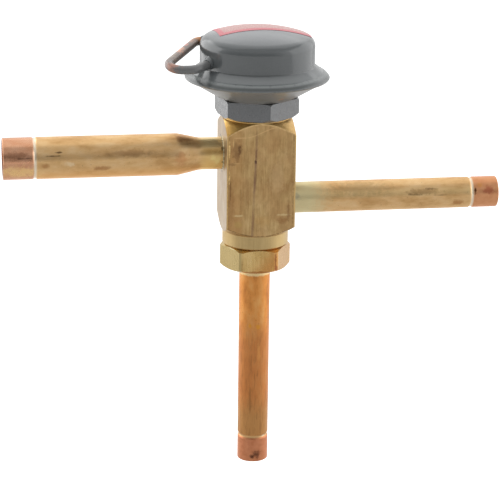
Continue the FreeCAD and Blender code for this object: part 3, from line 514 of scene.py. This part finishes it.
def bar_stains(f, colour, front, wobble):
    """Tan and brown clouds on the bar's front, amber along its left edge, and single marks."""
    clouds = f.ease(f.noise(13 * MM, detail=3, seed=11), 0.35, 0.65, 0.0, 0.55)
    colour = f.mix(f.times(front, clouds), colour, srgb(200, 158, 108))
    blotch = f.noise(2.6 * MM, detail=4, roughness=0.7, stretch=(1, 1, 2.2), seed=19)
    blotch = f.times(f.ease(blotch, 0.42, 0.62), front, 0.3)
    colour = f.mix(blotch, colour, srgb(160, 122, 78))
    amber = f.times(front, f.ease(f.axis(X), *AMBER_SIDE, 0.3, 0.0))
    colour = f.mix(amber, colour, srgb(196, 140, 82))
    return f.spots(colour, on_side(Y, [
        ((-14.2, 195.0), 3.6, srgb(134, 98, 66), 0.5, (1.2, 1.9)),
        ((-12.7, 194.4), 2.0, srgb(92, 66, 46), 0.65, (0.6, 2.0)),
        ((-16.4, 186.6), 2.4, srgb(130, 96, 66), 0.45, (1.4, 0.5)),
        ((-3.2, 187.7), 1.3, srgb(30, 20, 20), 1.0, (0.8, 1.1)),
        ((-3.0, 191.6), 1.4, srgb(108, 78, 60), 0.5, (0.5, 4)),
        ((-13.0, 156.3), 2.0, srgb(236, 212, 158), 0.6, (2.2, 0.4)),
        ((13.0, 156.2), 2.0, srgb(236, 212, 158), 0.55, (2.4, 0.4)),
        ((-17.0, 163.0), 4.0, srgb(168, 124, 80), 0.45, (0.6, 4)),
        ((9.0, 178.0), 6.0, srgb(222, 190, 142), 0.35, (1, 2)),
        ((15.0, 195.0), 4.0, srgb(178, 140, 96), 0.3, (1, 2)),
        ((-14.0, 191.5), 3.4, srgb(150, 112, 74), 0.55, (0.8, 1.6)),
        ((-14.0, 187.0), 1.2, srgb(226, 190, 130), 0.6, (2.4, 0.3)),
        ((-16.1, 198.6), 0.8, srgb(236, 200, 138), 0.7, (0.6, 4)),
        ((-18.3, 195.8), 1.2, srgb(255, 220, 150), 0.95, (0.5, 6)),
        ((-18.3, 178.4), 1.2, srgb(255, 216, 146), 0.85, (0.5, 4)),
        ((-17.6, 171.0), 1.0, srgb(118, 84, 56), 0.6, (0.6, 9)),
        ((-11.5, 166.0), 0.9, srgb(128, 94, 62), 0.35, (0.6, 12)),
        ((12.4, 152.8), 3.4, srgb(158, 112, 70), 0.55, (1.3, 0.8)),
        ((15.9, 158.0), 1.6, srgb(140, 100, 66), 0.5, (0.7, 6)),
        ((1.0, 153.0), 4.0, srgb(216, 172, 110), 0.35, (1.6, 1)),
        ((-13.0, 151.0), 2.6, srgb(206, 176, 108), 0.4, (1.4, 1)),
    ]), wobble)


def bar_run_outs(f, colour, front, wobble):
    """Painted highlights along the edge where the bar's flat front meets the upper turned cone and
    in a light arc under it, and a darker broken line where the front meets the lower cone.
    """
    upper = inside_cone(f, TOP_RIM_RADIUS, TOP_RIM_FOOT, -UPPER_CONE_ANGLE)
    # Painted highlight along the edge where the flat front meets the upper cone.
    worn = f.times(front, f.fade(upper, *UPPER_RUN_OUT_HIGHLIGHT), f.ease(wobble, 0.35, 0.6, 0.2, 0.9))
    colour = f.mix(worn, colour, srgb(240, 204, 144))
    lower = inside_cone(f, COLLAR_RADIUS, COLLAR_TOP, LOWER_CONE_ANGLE)
    lower_run_out_dark = f.times(front, f.fade(lower, *LOWER_RUN_OUT_DARK), f.ease(wobble, 0.4, 0.55, 0.15, 0.75))
    colour = f.mix(lower_run_out_dark, colour, srgb(112, 82, 58))
    x = f.axis(X)
    # Painted highlight: a light arc across the front under the upper cone.
    arc = f.ease(x, *ARC_SIDES, ARC_LOW, ARC_HIGH)
    arc = f.math("ABSOLUTE", f.math("SUBTRACT", f.axis(Z), arc))
    arc = f.times(front, f.fade(arc, *ARC_WIDTHS))
    arc = f.times(arc, f.band(x, *ARC_REACH, 1.5 * MM), f.ease(wobble, 0.3, 0.55, 0.25, 0.7))
    return f.mix(arc, colour, srgb(228, 190, 136))


def bar_seam(f, front, wobble):
    """Share of a slanted seam down the bar's front, broken and fainter towards its top."""
    z = f.axis(Z)
    slant = f.math("MULTIPLY_ADD", z, -SEAM_SLOPE, SEAM_SLOPE * SEAM_TOP - SEAM_SIDE)
    bend = f.math("MULTIPLY_ADD", wobble, SEAM_BEND, -SEAM_BEND / 2)
    seam = f.math("ABSOLUTE", f.math("ADD", f.math("ADD", f.axis(X), slant), bend))
    seam = f.fade(seam, *SEAM_WIDTHS)
    broken = f.noise(5 * MM, detail=3, stretch=(1, 1, 3), seed=13)
    broken = f.times(f.ease(broken, 0.36, 0.62, 0.25, 0.65), f.ease(z, *SEAM_FAINTER, 1.0, 0.35))
    return f.times(seam, broken, front)


def bar_edges(f, colour, front, wobble):
    """Upright edges rubbed bright, with a darker strip beside each on the front."""
    across = f.math("ABSOLUTE", f.axis(X))
    edge = f.math("MINIMUM", across, f.math("ABSOLUTE", f.axis(Y)))
    edge = f.ease(f.math("MULTIPLY_ADD", wobble, 1.6 * MM, edge), *EDGE_RUBBED)
    colour = f.mix(f.times(edge, 0.75), colour, srgb(240, 204, 138))
    strip = f.times(f.band(across, *EDGE_STRIP, 0.4 * MM), f.ease(wobble, 0.4, 0.6, 0.0, 0.45))
    return f.mix(f.times(strip, front), colour, srgb(140, 104, 70))


def bar_ends(f, colour, flats):
    """Turned ends: a pale collar below, and a painted golden highlight on the cone above, brightest
    on its left.
    """
    z = f.axis(Z)
    collar = f.fade(z, COLLAR_TOP - 0.2 * MM, COLLAR_TOP + 0.2 * MM)
    colour = f.mix(f.times(collar, 0.7), colour, srgb(202, 176, 124))
    # Painted highlight: the upper cone is made golden, strongest on its left side.
    cone = f.times(f.ease(z, *UPPER_CONE_START), f.less(flats))
    golden = f.times(f.ease(f.axis(X), *CONE_LEFT_SIDE, 1.0, 0.25), 0.75)
    return f.mix(f.times(cone, golden), colour, srgb(250, 200, 110))


def brass_body():
    """Drawn brass bar: long fine marks, a slanted seam, stains, worn edges and turned ends."""
    f = Finish("brass_body")
    colour, streaks = brass_tone(f, (1, 1, 16), [
        (0.36, srgb(178, 140, 92)),
        (0.5, srgb(206, 172, 118)),
        (0.64, srgb(222, 190, 136)),
    ])
    front = flat_side(f, Y)
    left = flat_side(f, X)
    wobble = f.noise(1.8 * MM, detail=4, roughness=0.6, seed=7)
    seam = bar_seam(f, front, wobble)
    colour = bar_stains(f, colour, front, wobble)
    colour = bar_run_outs(f, colour, front, wobble)
    colour = f.mix(seam, colour, srgb(134, 102, 86))
    colour = bar_edges(f, colour, front, wobble)
    colour = bar_ends(f, colour, f.math("MAXIMUM", front, left))
    # Painted reflection: the bar's left side is made paler and grayer, standing in for the white
    # room it reflects.
    colour = f.mix(f.times(left, 0.6), colour, srgb(180, 168, 154))
    colour = f.spots(colour, on_side(X, [
        ((6.2, 197.4), 1.6, srgb(60, 52, 48), 0.9, (1, 0.5)),
        ((-0.6, 177.7), 1.6, srgb(60, 52, 48), 0.9, (1, 0.5)),
        ((-7.6, 193.9), 1.2, srgb(26, 22, 20), 1.0, (0.7, 1.2)),
        ((-9.2, 186.2), 1.2, srgb(26, 22, 20), 1.0, (0.7, 1.4)),
        ((-6.0, 181.0), 1.2, srgb(70, 64, 60), 0.8, (1, 0.7)),
    ]))
    marks = f.bump(streaks, 0.05 * MM)
    marks = f.bump(f.less(seam), 0.12 * MM, under=marks)
    shine = f.uneven(6 * MM, 0.32, 0.44, seed=2)
    return f.metal(colour, shine, marks)


def brass_adapter():
    """Brass hexagon: greenish on the left, golden in front, heated to orange low on the right."""
    f = Finish("brass_adapter")
    colour, streaks = brass_tone(f, (1, 1, 10), [
        (0.36, srgb(206, 170, 106)),
        (0.5, srgb(234, 200, 134)),
        (0.64, srgb(248, 216, 154)),
    ])
    wobble = f.noise(3 * MM, detail=4, roughness=0.6, seed=7)
    x = f.axis(X)
    left = f.fade(x, *ADAPTER_LEFT_CORNER)
    colour = f.mix(f.times(left, 0.8), colour, srgb(180, 161, 113))
    right = f.ease(x, *ADAPTER_RIGHT_CORNER)
    colour = f.mix(f.times(right, 0.8), colour, srgb(194, 156, 116))
    front = f.times(f.less(right), f.less(left))
    heat = f.math("MULTIPLY_ADD", wobble, 6 * MM, x)
    heat = f.math("MULTIPLY_ADD", f.axis(Z), HEAT_SLANT, heat)
    heat = f.ease(heat, *HEAT_EDGE, 0.05, 0.8)
    colour = f.mix(f.times(front, heat), colour, srgb(214, 148, 80))
    fine = f.noise(1.1 * MM, detail=3, roughness=0.6, stretch=(1, 1, 3), seed=12)
    fine = f.times(front, f.ease(fine, 0.45, 0.62, 0.0, 0.14))
    colour = f.mix(fine, colour, srgb(172, 132, 74))
    colour = f.spots(colour, [
        ((9.3, -18.25, 128.6), 1.6, srgb(140, 84, 50), 0.8, (0.6, 1, 4.4)),
        ((7.4, -18.25, 122.8), 1.2, srgb(240, 190, 110), 0.7, (0.6, 1, 2)),
        ((9.8, -18.0, 123.4), 2.0, srgb(150, 84, 58), 0.7, (0.7, 1, 1)),
        ((-1.5, -18.25, 121.4), 3.0, srgb(170, 104, 56), 0.7, (3.4, 1, 0.4)),
        ((-10.2, -18.25, 126.0), 1.2, srgb(150, 110, 62), 0.6, (0.6, 1, 5)),
        ((15.5, -12.0, 123.0), 3.0, srgb(206, 142, 92), 0.5, (1, 1, 0.5)),
        # Painted highlight along the top chamfer of the left face.
        ((-14.0, -12.0, 134.2), 4.0, srgb(244, 226, 176), 0.6, (1.6, 1.6, 0.2)),
    ], wobble)
    shine = f.uneven(5 * MM, 0.24, 0.36, seed=2)
    return f.metal(colour, shine, f.bump(streaks, 0.03 * MM))


def copper_base(f, stretch, stops, seed=0.0):
    """Oxidised copper: cloudy patches over fine drawn-out streaks, and small dark specks."""
    patches = f.noise(10 * MM, detail=5, roughness=0.6, stretch=stretch, seed=seed)
    fine = tuple(factor * 3 for factor in stretch)
    streaks = f.noise(1.1 * MM, detail=4, roughness=0.6, stretch=fine, seed=seed + 3)
    blend = f.math("MULTIPLY_ADD", streaks, 0.35, f.times(patches, 0.65))
    colour = f.ramp(blend, stops)
    speck = f.ease(f.noise(0.9 * MM, detail=3, seed=seed + 5), 0.66, 0.74)
    colour = f.mix(f.times(speck, 0.45), colour, srgb(120, 82, 50))
    return colour, streaks


def copper_bypass():
    """Large stub: tan tube, pinkish cleaned end past the groove, golden neck with a painted
    highlight along its top, a reddish-brown patch on the shoulder, and a painted highlight in the
    groove.
    """
    f = Finish("copper_bypass")
    colour, streaks = copper_base(f, (2.2, 1, 1), TAN_COPPER)
    x = f.axis(X)
    z = f.axis(Z)
    wobble = f.noise(2.6 * MM, detail=4, roughness=0.6, seed=7)
    low = f.fade(z, BYPASS_HEIGHT - 10 * MM, BYPASS_HEIGHT - 2 * MM)
    colour = f.mix(f.times(low, 0.5), colour, srgb(255, 188, 108))
    neck = f.ease(x, NECK_END - 3 * MM, NECK_END + 5 * MM)
    colour = f.mix(f.times(neck, 0.65), colour, srgb(240, 202, 130))
    dark = f.band(z, BYPASS_HEIGHT + 2.0 * MM, BYPASS_HEIGHT + 4.6 * MM, 1.2 * MM)
    colour = f.mix(f.times(neck, dark, 0.7), colour, srgb(190, 148, 84))
    lower = f.fade(z, BYPASS_HEIGHT - 6 * MM, BYPASS_HEIGHT + 1 * MM)
    colour = f.mix(f.times(neck, lower, 0.6), colour, srgb(255, 212, 132))
    # Painted highlight along the top of the neck.
    upper = f.ease(z, BYPASS_HEIGHT + 4.2 * MM, BYPASS_HEIGHT + 7.0 * MM)
    colour = f.mix(f.times(neck, upper, 0.85), colour, srgb(255, 232, 178))
    end = f.fade(x, BYPASS_GROOVE - 1.2 * MM, BYPASS_GROOVE + 0.4 * MM)
    pink = f.noise(4 * MM, detail=4, stretch=(2, 1, 1), seed=4)
    pink = f.mix(pink, srgb(206, 132, 92), srgb(240, 190, 160))
    colour = f.mix(f.times(end, 0.85), colour, pink)
    colour = f.spots(colour, [
        ((-113.2, -10.4, 193.9), 1.3, srgb(88, 60, 40), 0.8, (2.4, 1, 0.5)),
        ((-116.0, -11.2, 192.2), 1.2, srgb(96, 66, 42), 0.7, (4.5, 1, 0.4)),
        ((-107.6, -11.9, 187.4), 2.0, srgb(250, 226, 184), 0.6, (1.6, 1, 1)),
        ((-121.0, -11.6, 186.4), 2.2, srgb(170, 112, 66), 0.5, (1.4, 1, 1)),
        ((-90.0, -11.0, 184.4), 2.4, srgb(160, 104, 62), 0.55, (3, 1, 0.8)),
        ((-73.0, -11.1, 192.6), 3.6, srgb(166, 122, 82), 0.45, (5, 1, 0.7)),
        ((-42.6, -4.4, 199.0), 4.4, srgb(160, 104, 68), 0.5, (1.6, 1.6, 1)),
        ((-44.4, -10.6, 188.6), 4.0, srgb(206, 140, 92), 0.5, (1.2, 1, 1.6)),
        ((-23.4, -12.4, 187.4), 6.4, srgb(255, 230, 156), 0.8, (1, 1, 1.2)),
        ((-20.8, -8.0, 192.6), 1.2, srgb(60, 54, 38), 0.8, (0.6, 1, 2)),
        ((-20.8, -8.8, 185.4), 1.1, srgb(60, 54, 38), 0.8, (0.6, 1, 1.4)),
        ((-139.0, -11.0, 193.0), 4.0, srgb(120, 76, 54), 0.5, (3.4, 1, 0.6)),
        ((-134.0, -11.5, 191.2), 1.4, srgb(90, 54, 42), 0.6, (4, 1, 0.35)),
        ((-135.0, -10.6, 183.0), 7.0, srgb(255, 212, 146), 0.8, (2, 1, 0.8)),
    ], wobble)
    # Painted highlight in the groove.
    groove = f.band(x, BYPASS_GROOVE - 0.7 * MM, BYPASS_GROOVE + 0.7 * MM, 0.5 * MM)
    colour = f.mix(f.times(groove, 0.8), colour, GROOVE_HIGHLIGHT)
    shine = f.uneven(6 * MM, 0.3, 0.42, seed=2)
    shine = f.math("MULTIPLY_ADD", end, -0.1, shine)
    return f.metal(colour, shine, f.bump(streaks, 0.02 * MM))


def copper_receiver():
    """Small stub on the right: pale at the body, mottled tan, reddish cleaned end, with painted
    highlights in a band along its upper side and in the groove.
    """
    f = Finish("copper_receiver")
    colour, streaks = copper_base(f, (2.2, 1, 1), TAN_COPPER, seed=11)
    x = f.axis(X)
    wobble = f.noise(2.2 * MM, detail=4, roughness=0.65, seed=7)
    # Painted highlight: a pale band along the tube's upper side.
    middle = f.band(f.axis(Z), *RECEIVER_SHEEN, 1.4 * MM)
    colour = f.mix(f.times(middle, 0.4), colour, srgb(255, 226, 164))
    pale = f.ease(f.math("MULTIPLY_ADD", wobble, 12 * MM, x), *RECEIVER_BLOOM, 0.75, 0.0)
    colour = f.mix(pale, colour, srgb(226, 218, 172))
    end = f.ease(x, RECEIVER_GROOVE - 0.4 * MM, RECEIVER_GROOVE + 1.2 * MM)
    pink = f.mix(f.noise(3 * MM, detail=4, seed=4), srgb(208, 134, 90), srgb(240, 178, 132))
    colour = f.mix(f.times(end, 0.9), colour, pink)
    colour = f.spots(colour, [
        ((22.6, -8.4, 163.6), 2.6, srgb(160, 160, 146), 0.4, (1, 1, 1.2)),
        ((97.0, -8.3, 163.9), 3.0, srgb(160, 114, 70), 0.5, (4.2, 1, 0.8)),
        ((92.0, -8.6, 162.4), 1.4, srgb(128, 88, 54), 0.45, (4, 1, 0.6)),
        ((101.0, -7.6, 165.4), 1.4, srgb(122, 84, 50), 0.55, (3, 1, 0.6)),
        ((108.0, -8.9, 161.7), 1.0, srgb(140, 96, 58), 0.7, (5, 1, 0.4)),
        ((118.0, -8.1, 156.7), 2.8, srgb(176, 116, 64), 0.65, (1.7, 1, 0.9)),
        ((128.2, -8.2, 163.4), 1.3, srgb(96, 56, 30), 0.95, (0.7, 1, 3.2)),
        ((136.0, -8.4, 163.5), 3.6, srgb(180, 86, 62), 0.6, (1.2, 1, 1)),
        ((131.0, -6.6, 166.2), 2.2, srgb(230, 160, 86), 0.6, (1, 1, 1)),
        ((60.0, -6.4, 166.8), 6.0, srgb(166, 138, 92), 0.4, (4, 1, 1)),
    ], wobble)
    # Painted highlight in the groove.
    groove = f.band(x, RECEIVER_GROOVE - 0.7 * MM, RECEIVER_GROOVE + 0.6 * MM, 0.5 * MM)
    colour = f.mix(f.times(groove, 0.8), colour, GROOVE_HIGHLIGHT)
    shine = f.uneven(6 * MM, 0.34, 0.46, seed=2)
    return f.metal(colour, shine, f.bump(streaks, 0.02 * MM))


def copper_condenser():
    """Small stub below: orange near the braze, brown and streaked lower down, pinkish end, with a
    painted highlight in the groove and a small painted glint on it.
    """
    f = Finish("copper_condenser")
    colour, streaks = copper_base(f, (1, 1, 2.4), ORANGE_COPPER, seed=23)
    z = f.axis(Z)
    wobble = f.noise(2.4 * MM, detail=4, roughness=0.65, stretch=(1, 1, 1.6), seed=7)
    height = f.math("MULTIPLY_ADD", wobble, 14 * MM, z)
    brown = f.fade(height, *BROWN_LEVELS)
    olive = f.fade(height, *OLIVE_LEVELS)
    colour = f.mix(f.times(brown, 0.7), colour, srgb(204, 132, 80))
    colour = f.mix(f.times(olive, 0.5), colour, srgb(186, 150, 96))
    threads = f.noise(1.0 * MM, detail=4, roughness=0.65, stretch=(1, 1, 9), seed=17)
    threads = f.times(f.ease(threads, 0.48, 0.66), brown)
    colour = f.mix(f.times(threads, 0.35), colour, srgb(142, 98, 62))
    wash = f.math("MULTIPLY_ADD", wobble, 2 * MM, z)
    wash = f.ease(wash, ADAPTER_BOTTOM - 4.2 * MM, ADAPTER_BOTTOM - 3.0 * MM)
    colour = f.mix(f.times(wash, 0.85), colour, srgb(250, 226, 170))
    end = f.fade(z, CONDENSER_GROOVE - 1.2 * MM, CONDENSER_GROOVE + 0.4 * MM)
    pink = f.mix(f.noise(3 * MM, detail=4, seed=4), srgb(186, 108, 72), srgb(234, 160, 122))
    colour = f.mix(f.times(end, 0.85), colour, pink)
    colour = f.spots(colour, [
        ((-3.6, -8.2, 85.6), 1.3, srgb(230, 160, 60), 0.7, (1, 1, 1.4)),
        ((1.0, -8.9, 85.0), 1.5, srgb(230, 160, 60), 0.7, (1, 1, 1.2)),
        ((1.6, -8.9, 68.0), 2.4, srgb(236, 168, 96), 0.5, (0.6, 1, 4)),
        ((-3.0, -8.5, 40.0), 2.0, srgb(124, 92, 56), 0.35, (0.6, 1, 5)),
        ((1.0, -8.9, 4.6), 3.2, srgb(86, 56, 40), 0.8, (1.1, 1, 1)),
        ((-1.6, -8.8, 3.2), 1.8, srgb(70, 46, 34), 0.8, (1, 1, 1.2)),
        # Painted highlight: a small glint on the groove.
        ((5.6, -7.0, 15.8), 1.4, srgb(255, 246, 232), 0.8, (1.4, 1, 0.6)),
    ], wobble)
    # Painted highlight in the groove.
    groove = f.band(z, CONDENSER_GROOVE - 0.5 * MM, CONDENSER_GROOVE + 0.9 * MM, 0.4 * MM)
    colour = f.mix(f.times(groove, 0.5), colour, srgb(250, 218, 158))
    shine = f.uneven(6 * MM, 0.34, 0.46, seed=2)
    return f.metal(colour, shine, f.bump(streaks, 0.02 * MM))


def turned_metal(name, dark, light):
    """Machined metal with fine rings about the valve's axis."""
    f = Finish(name)
    rings = f.noise(0.35 * MM, detail=3, stretch=(40, 40, 1))
    colour = f.mix(rings, dark, light)
    return f.metal(colour, 0.3, f.bump(rings, 0.02 * MM))


def plain_polymer(name, dark, light):
    """Dense gasket or seal material with a fine grain."""
    f = Finish(name)
    grain = f.noise(0.8 * MM, detail=3)
    colour = f.mix(grain, dark, light)
    return f.finish(Base_Color=colour, Roughness=0.5, Normal=f.bump(grain, 0.02 * MM))


def label_film():
    """Thin film with a red border and a paler, finely dotted field."""
    f = Finish("label_film")
    turn = math.radians(LABEL_TURN)
    x = f.math("SUBTRACT", f.axis(X), LABEL_CORNER[0])
    y = f.math("SUBTRACT", f.axis(Y), LABEL_CORNER[1])
    along = f.math("ADD", f.times(x, math.cos(turn)), f.times(y, math.sin(turn)))
    across = f.math("SUBTRACT", f.times(y, math.cos(turn)), f.times(x, math.sin(turn)))
    border = f.math(
        "MAXIMUM",
        f.fade(along, *LABEL_END_BORDER),
        f.fade(across, *LABEL_SIDE_BORDER),
    )
    dots = f.ease(f.noise(0.8 * MM, detail=1, seed=3), 0.46, 0.56)
    field = f.mix(dots, srgb(188, 138, 134), srgb(204, 171, 167))
    colour = f.mix(border, field, f.mix(dots, srgb(196, 104, 112), srgb(206, 122, 128)))
    return f.finish(Base_Color=colour, Roughness=0.38, Specular_IOR_Level=0.35)


def dull_braze(name, dark, light):
    """Filler metal at a joint, aged and uneven."""
    f = Finish(name)
    cloud = f.noise(1.2 * MM, detail=4, roughness=0.65)
    colour = f.mix(f.ease(cloud, 0.38, 0.6), dark, light)
    return f.metal(colour, 0.45, f.bump(cloud, 0.1 * MM))


def paint(names, material):
    """Give nodes of the frame one material."""
    for name in names:
        mesh = NODES[name].data
        mesh.materials.clear()
        mesh.materials.append(material)


def round_edges(names, width):
    """Bevel the sharp edges of the CAD's own meshes, as tumbling, paint or use has."""
    for name in names:
        bevel = NODES[name].modifiers.new("edge_round", "BEVEL")
        bevel.width = width
        bevel.segments = 2
        bevel.limit_method = "ANGLE"
        bevel.angle_limit = math.radians(SMALLEST_TURN)


def stretching_copy(name, node):
    """Copy of a node's mesh that stands in for it while the node is hidden. In the valve the piece
    changes height with the stem, one end staying with the body.
    """
    piece = bpy.data.objects.new(name, NODES[node].data.copy())
    bpy.context.scene.collection.objects.link(piece)
    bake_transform(piece)
    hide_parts(node)


def add_camera():
    """Camera that looks at a point near the valve's axis."""
    elevation = math.radians(CAMERA_ELEVATION)
    azimuth = math.radians(CAMERA_AZIMUTH)
    roll = math.radians(CAMERA_ROLL)
    back = Vector((
        -math.sin(azimuth) * math.cos(elevation),
        -math.cos(azimuth) * math.cos(elevation),
        math.sin(elevation),
    ))
    level = Vector((math.cos(azimuth), -math.sin(azimuth), 0))
    upright = level.cross(back) * -1
    right = level * math.cos(roll) + upright * math.sin(roll)
    up = upright * math.cos(roll) - level * math.sin(roll)
    target = Vector((0, 0, CAMERA_TARGET_HEIGHT)) + level * CAMERA_TARGET_SIDE
    data = bpy.data.cameras.new("camera")
    data.sensor_width = SENSOR_MM
    data.lens = FOCAL_PIXELS * SENSOR_MM / IMAGE_PIXELS
    data.clip_end = 50
    camera = bpy.data.objects.new("camera", data)
    turn = Matrix((right, up, back)).transposed().to_4x4()
    camera.matrix_world = Matrix.Translation(target + back * CAMERA_DISTANCE) @ turn
    bpy.context.scene.collection.objects.link(camera)
    bpy.context.scene.camera = camera


def add_softbox(name, place, aim_height, size, watts):
    """Area lamp that faces a point on the valve's axis."""
    data = bpy.data.lights.new(name, "AREA")
    data.shape = "RECTANGLE"
    data.size, data.size_y = size
    data.energy = watts
    lamp = bpy.data.objects.new(name, data)
    away = (Vector((0, 0, aim_height)) - Vector(place)).to_track_quat("-Z", "Y")
    lamp.matrix_world = Matrix.Translation(place) @ away.to_matrix().to_4x4()
    bpy.context.scene.collection.objects.link(lamp)


def add_floor():
    """White floor with a painted shade pool ahead of the object. Camera rays get a little more, so
    that it meets the white background.
    """
    half = 6.0
    mesh = bpy.data.meshes.new("floor")
    corners = [(-half, -half, 0), (half, -half, 0), (half, half, 0), (-half, half, 0)]
    mesh.from_pydata(corners, [], [(0, 1, 2, 3)])
    floor = bpy.data.objects.new("floor", mesh)
    floor.location.z = FLOOR_LEVEL
    bpy.context.scene.collection.objects.link(floor)
    f = Finish("floor_white")
    seen = f.node("ShaderNodeLightPath").outputs["Is Camera Ray"]
    # Painted shade: the floor is darker in a pool ahead of the object.
    away = f.vector("DISTANCE", f.place, FLOOR_POOL)["Value"]
    base = f.ease(away, *FLOOR_POOL_EDGE, FLOOR_FRONT, FLOOR_BACK)
    missing = f.math("MULTIPLY_ADD", base, -FLOOR_LIT, FLOOR_SEEN)
    f.finish(
        Base_Color=base,
        Roughness=0.9,
        Specular_IOR_Level=0.0,
        Emission_Color=(1, 1, 1, 1),
        Emission_Strength=f.times(seen, missing),
    )
    mesh.materials.append(f.material)


def add_world():
    """White background, even fill for the object, and a darker room in front of it for gloss."""
    world = bpy.data.worlds.new("studio")
    world.use_nodes = True
    world.node_tree.nodes.clear()
    w = Nodes(world.node_tree, "Generated")
    path = w.node("ShaderNodeLightPath").outputs
    azimuth = math.radians(ROOM_AZIMUTH)
    ahead = w.vector("DOT_PRODUCT", w.place, (math.sin(azimuth), -math.cos(azimuth), 0))["Value"]
    ahead = w.ease(ahead, ROOM_EDGE_DOT, ROOM_CORE_DOT)
    below = w.fade(w.axis(Z), ROOM_TOP_START, ROOM_TOP_END)
    roof = w.mix(below, gray(ROOM_TOP), gray(WORLD_GLOSS))
    gloss = w.mix(w.times(ahead, below), roof, gray(ROOM_GLOSS))
    fill = w.vector("DOT_PRODUCT", w.place, FILL_WAY)["Value"]
    fill = w.ease(fill, FILL_EDGE_DOT, FILL_CORE_DOT)
    fill = w.mix(fill, gray(FILL_FRONT), gray(FILL_TOP))
    shown = w.mix(path["Is Glossy Ray"], fill, gloss)
    clear = w.math("MAXIMUM", path["Is Camera Ray"], path["Is Transmission Ray"])
    light = w.node("ShaderNodeBackground")
    output = w.node("ShaderNodeOutputWorld")
    w.feed(light.inputs["Color"], w.mix(clear, shown, gray(1.0)))
    w.feed(output.inputs["Surface"], light.outputs[0])
    bpy.context.scene.world = world


paint(["upper_cup", "charge_tube_braze"], enamel_crown())
paint(["rim_weld"], enamel_rim())
paint(["lower_cup"], enamel_cone())
paint(["element_hex"], enamel_hex())
paint(["charge_tube"], worn_enamel_tube())
paint(["valve_body"], brass_body())
paint(["bottom_adapter"], brass_adapter())
paint(["bypass_tube"], copper_bypass())
paint(["receiver_tube"], copper_receiver())
paint(["condenser_tube"], copper_condenser())
paint(
    ["bypass_braze", "receiver_braze"],
    dull_braze("braze_brass", srgb(134, 120, 84), srgb(214, 200, 166)),
)
paint(["condenser_braze"], dull_braze("braze_cream", srgb(196, 160, 110), srgb(244, 228, 190)))
paint(["label"], label_film())
paint(["adapter_gasket"], turned_metal("gasket_copper", srgb(176, 132, 80), srgb(206, 160, 104)))
paint(["element_gasket"], plain_polymer("gasket_fibre", srgb(34, 32, 30), srgb(58, 54, 50)))
paint(
    ["upper_seat_ring", "rod_guide", "buffer_plate", "poppet", "retaining_washers", "poppet_nut"],
    turned_metal("brass_inner", srgb(190, 158, 102), srgb(214, 184, 126)),
)
paint(
    ["diaphragm", "push_rod", "guide_clip", "return_spring"],
    turned_metal("steel_inner", srgb(160, 160, 158), srgb(188, 188, 186)),
)
paint(
    ["lower_seal_ring", "upper_seal_ring"],
    plain_polymer("seal_white", srgb(214, 212, 204), srgb(232, 230, 224)),
)
round_edges(["valve_body", "bottom_adapter"], BRASS_EDGE)
round_edges(["element_hex"], HEXAGON_EDGE)
round_edges(["charge_tube_braze"], BRAZE_EDGE)

stretching_copy(
    "diaphragm_sheet",
    "diaphragm",
)
stretching_copy(
    "return_spring_coil",
    "return_spring",
)

add_camera()
add_floor()
add_world()
for softbox in SOFTBOXES:
    add_softbox(*softbox)
bpy.context.scene.view_settings.view_transform = "Standard"
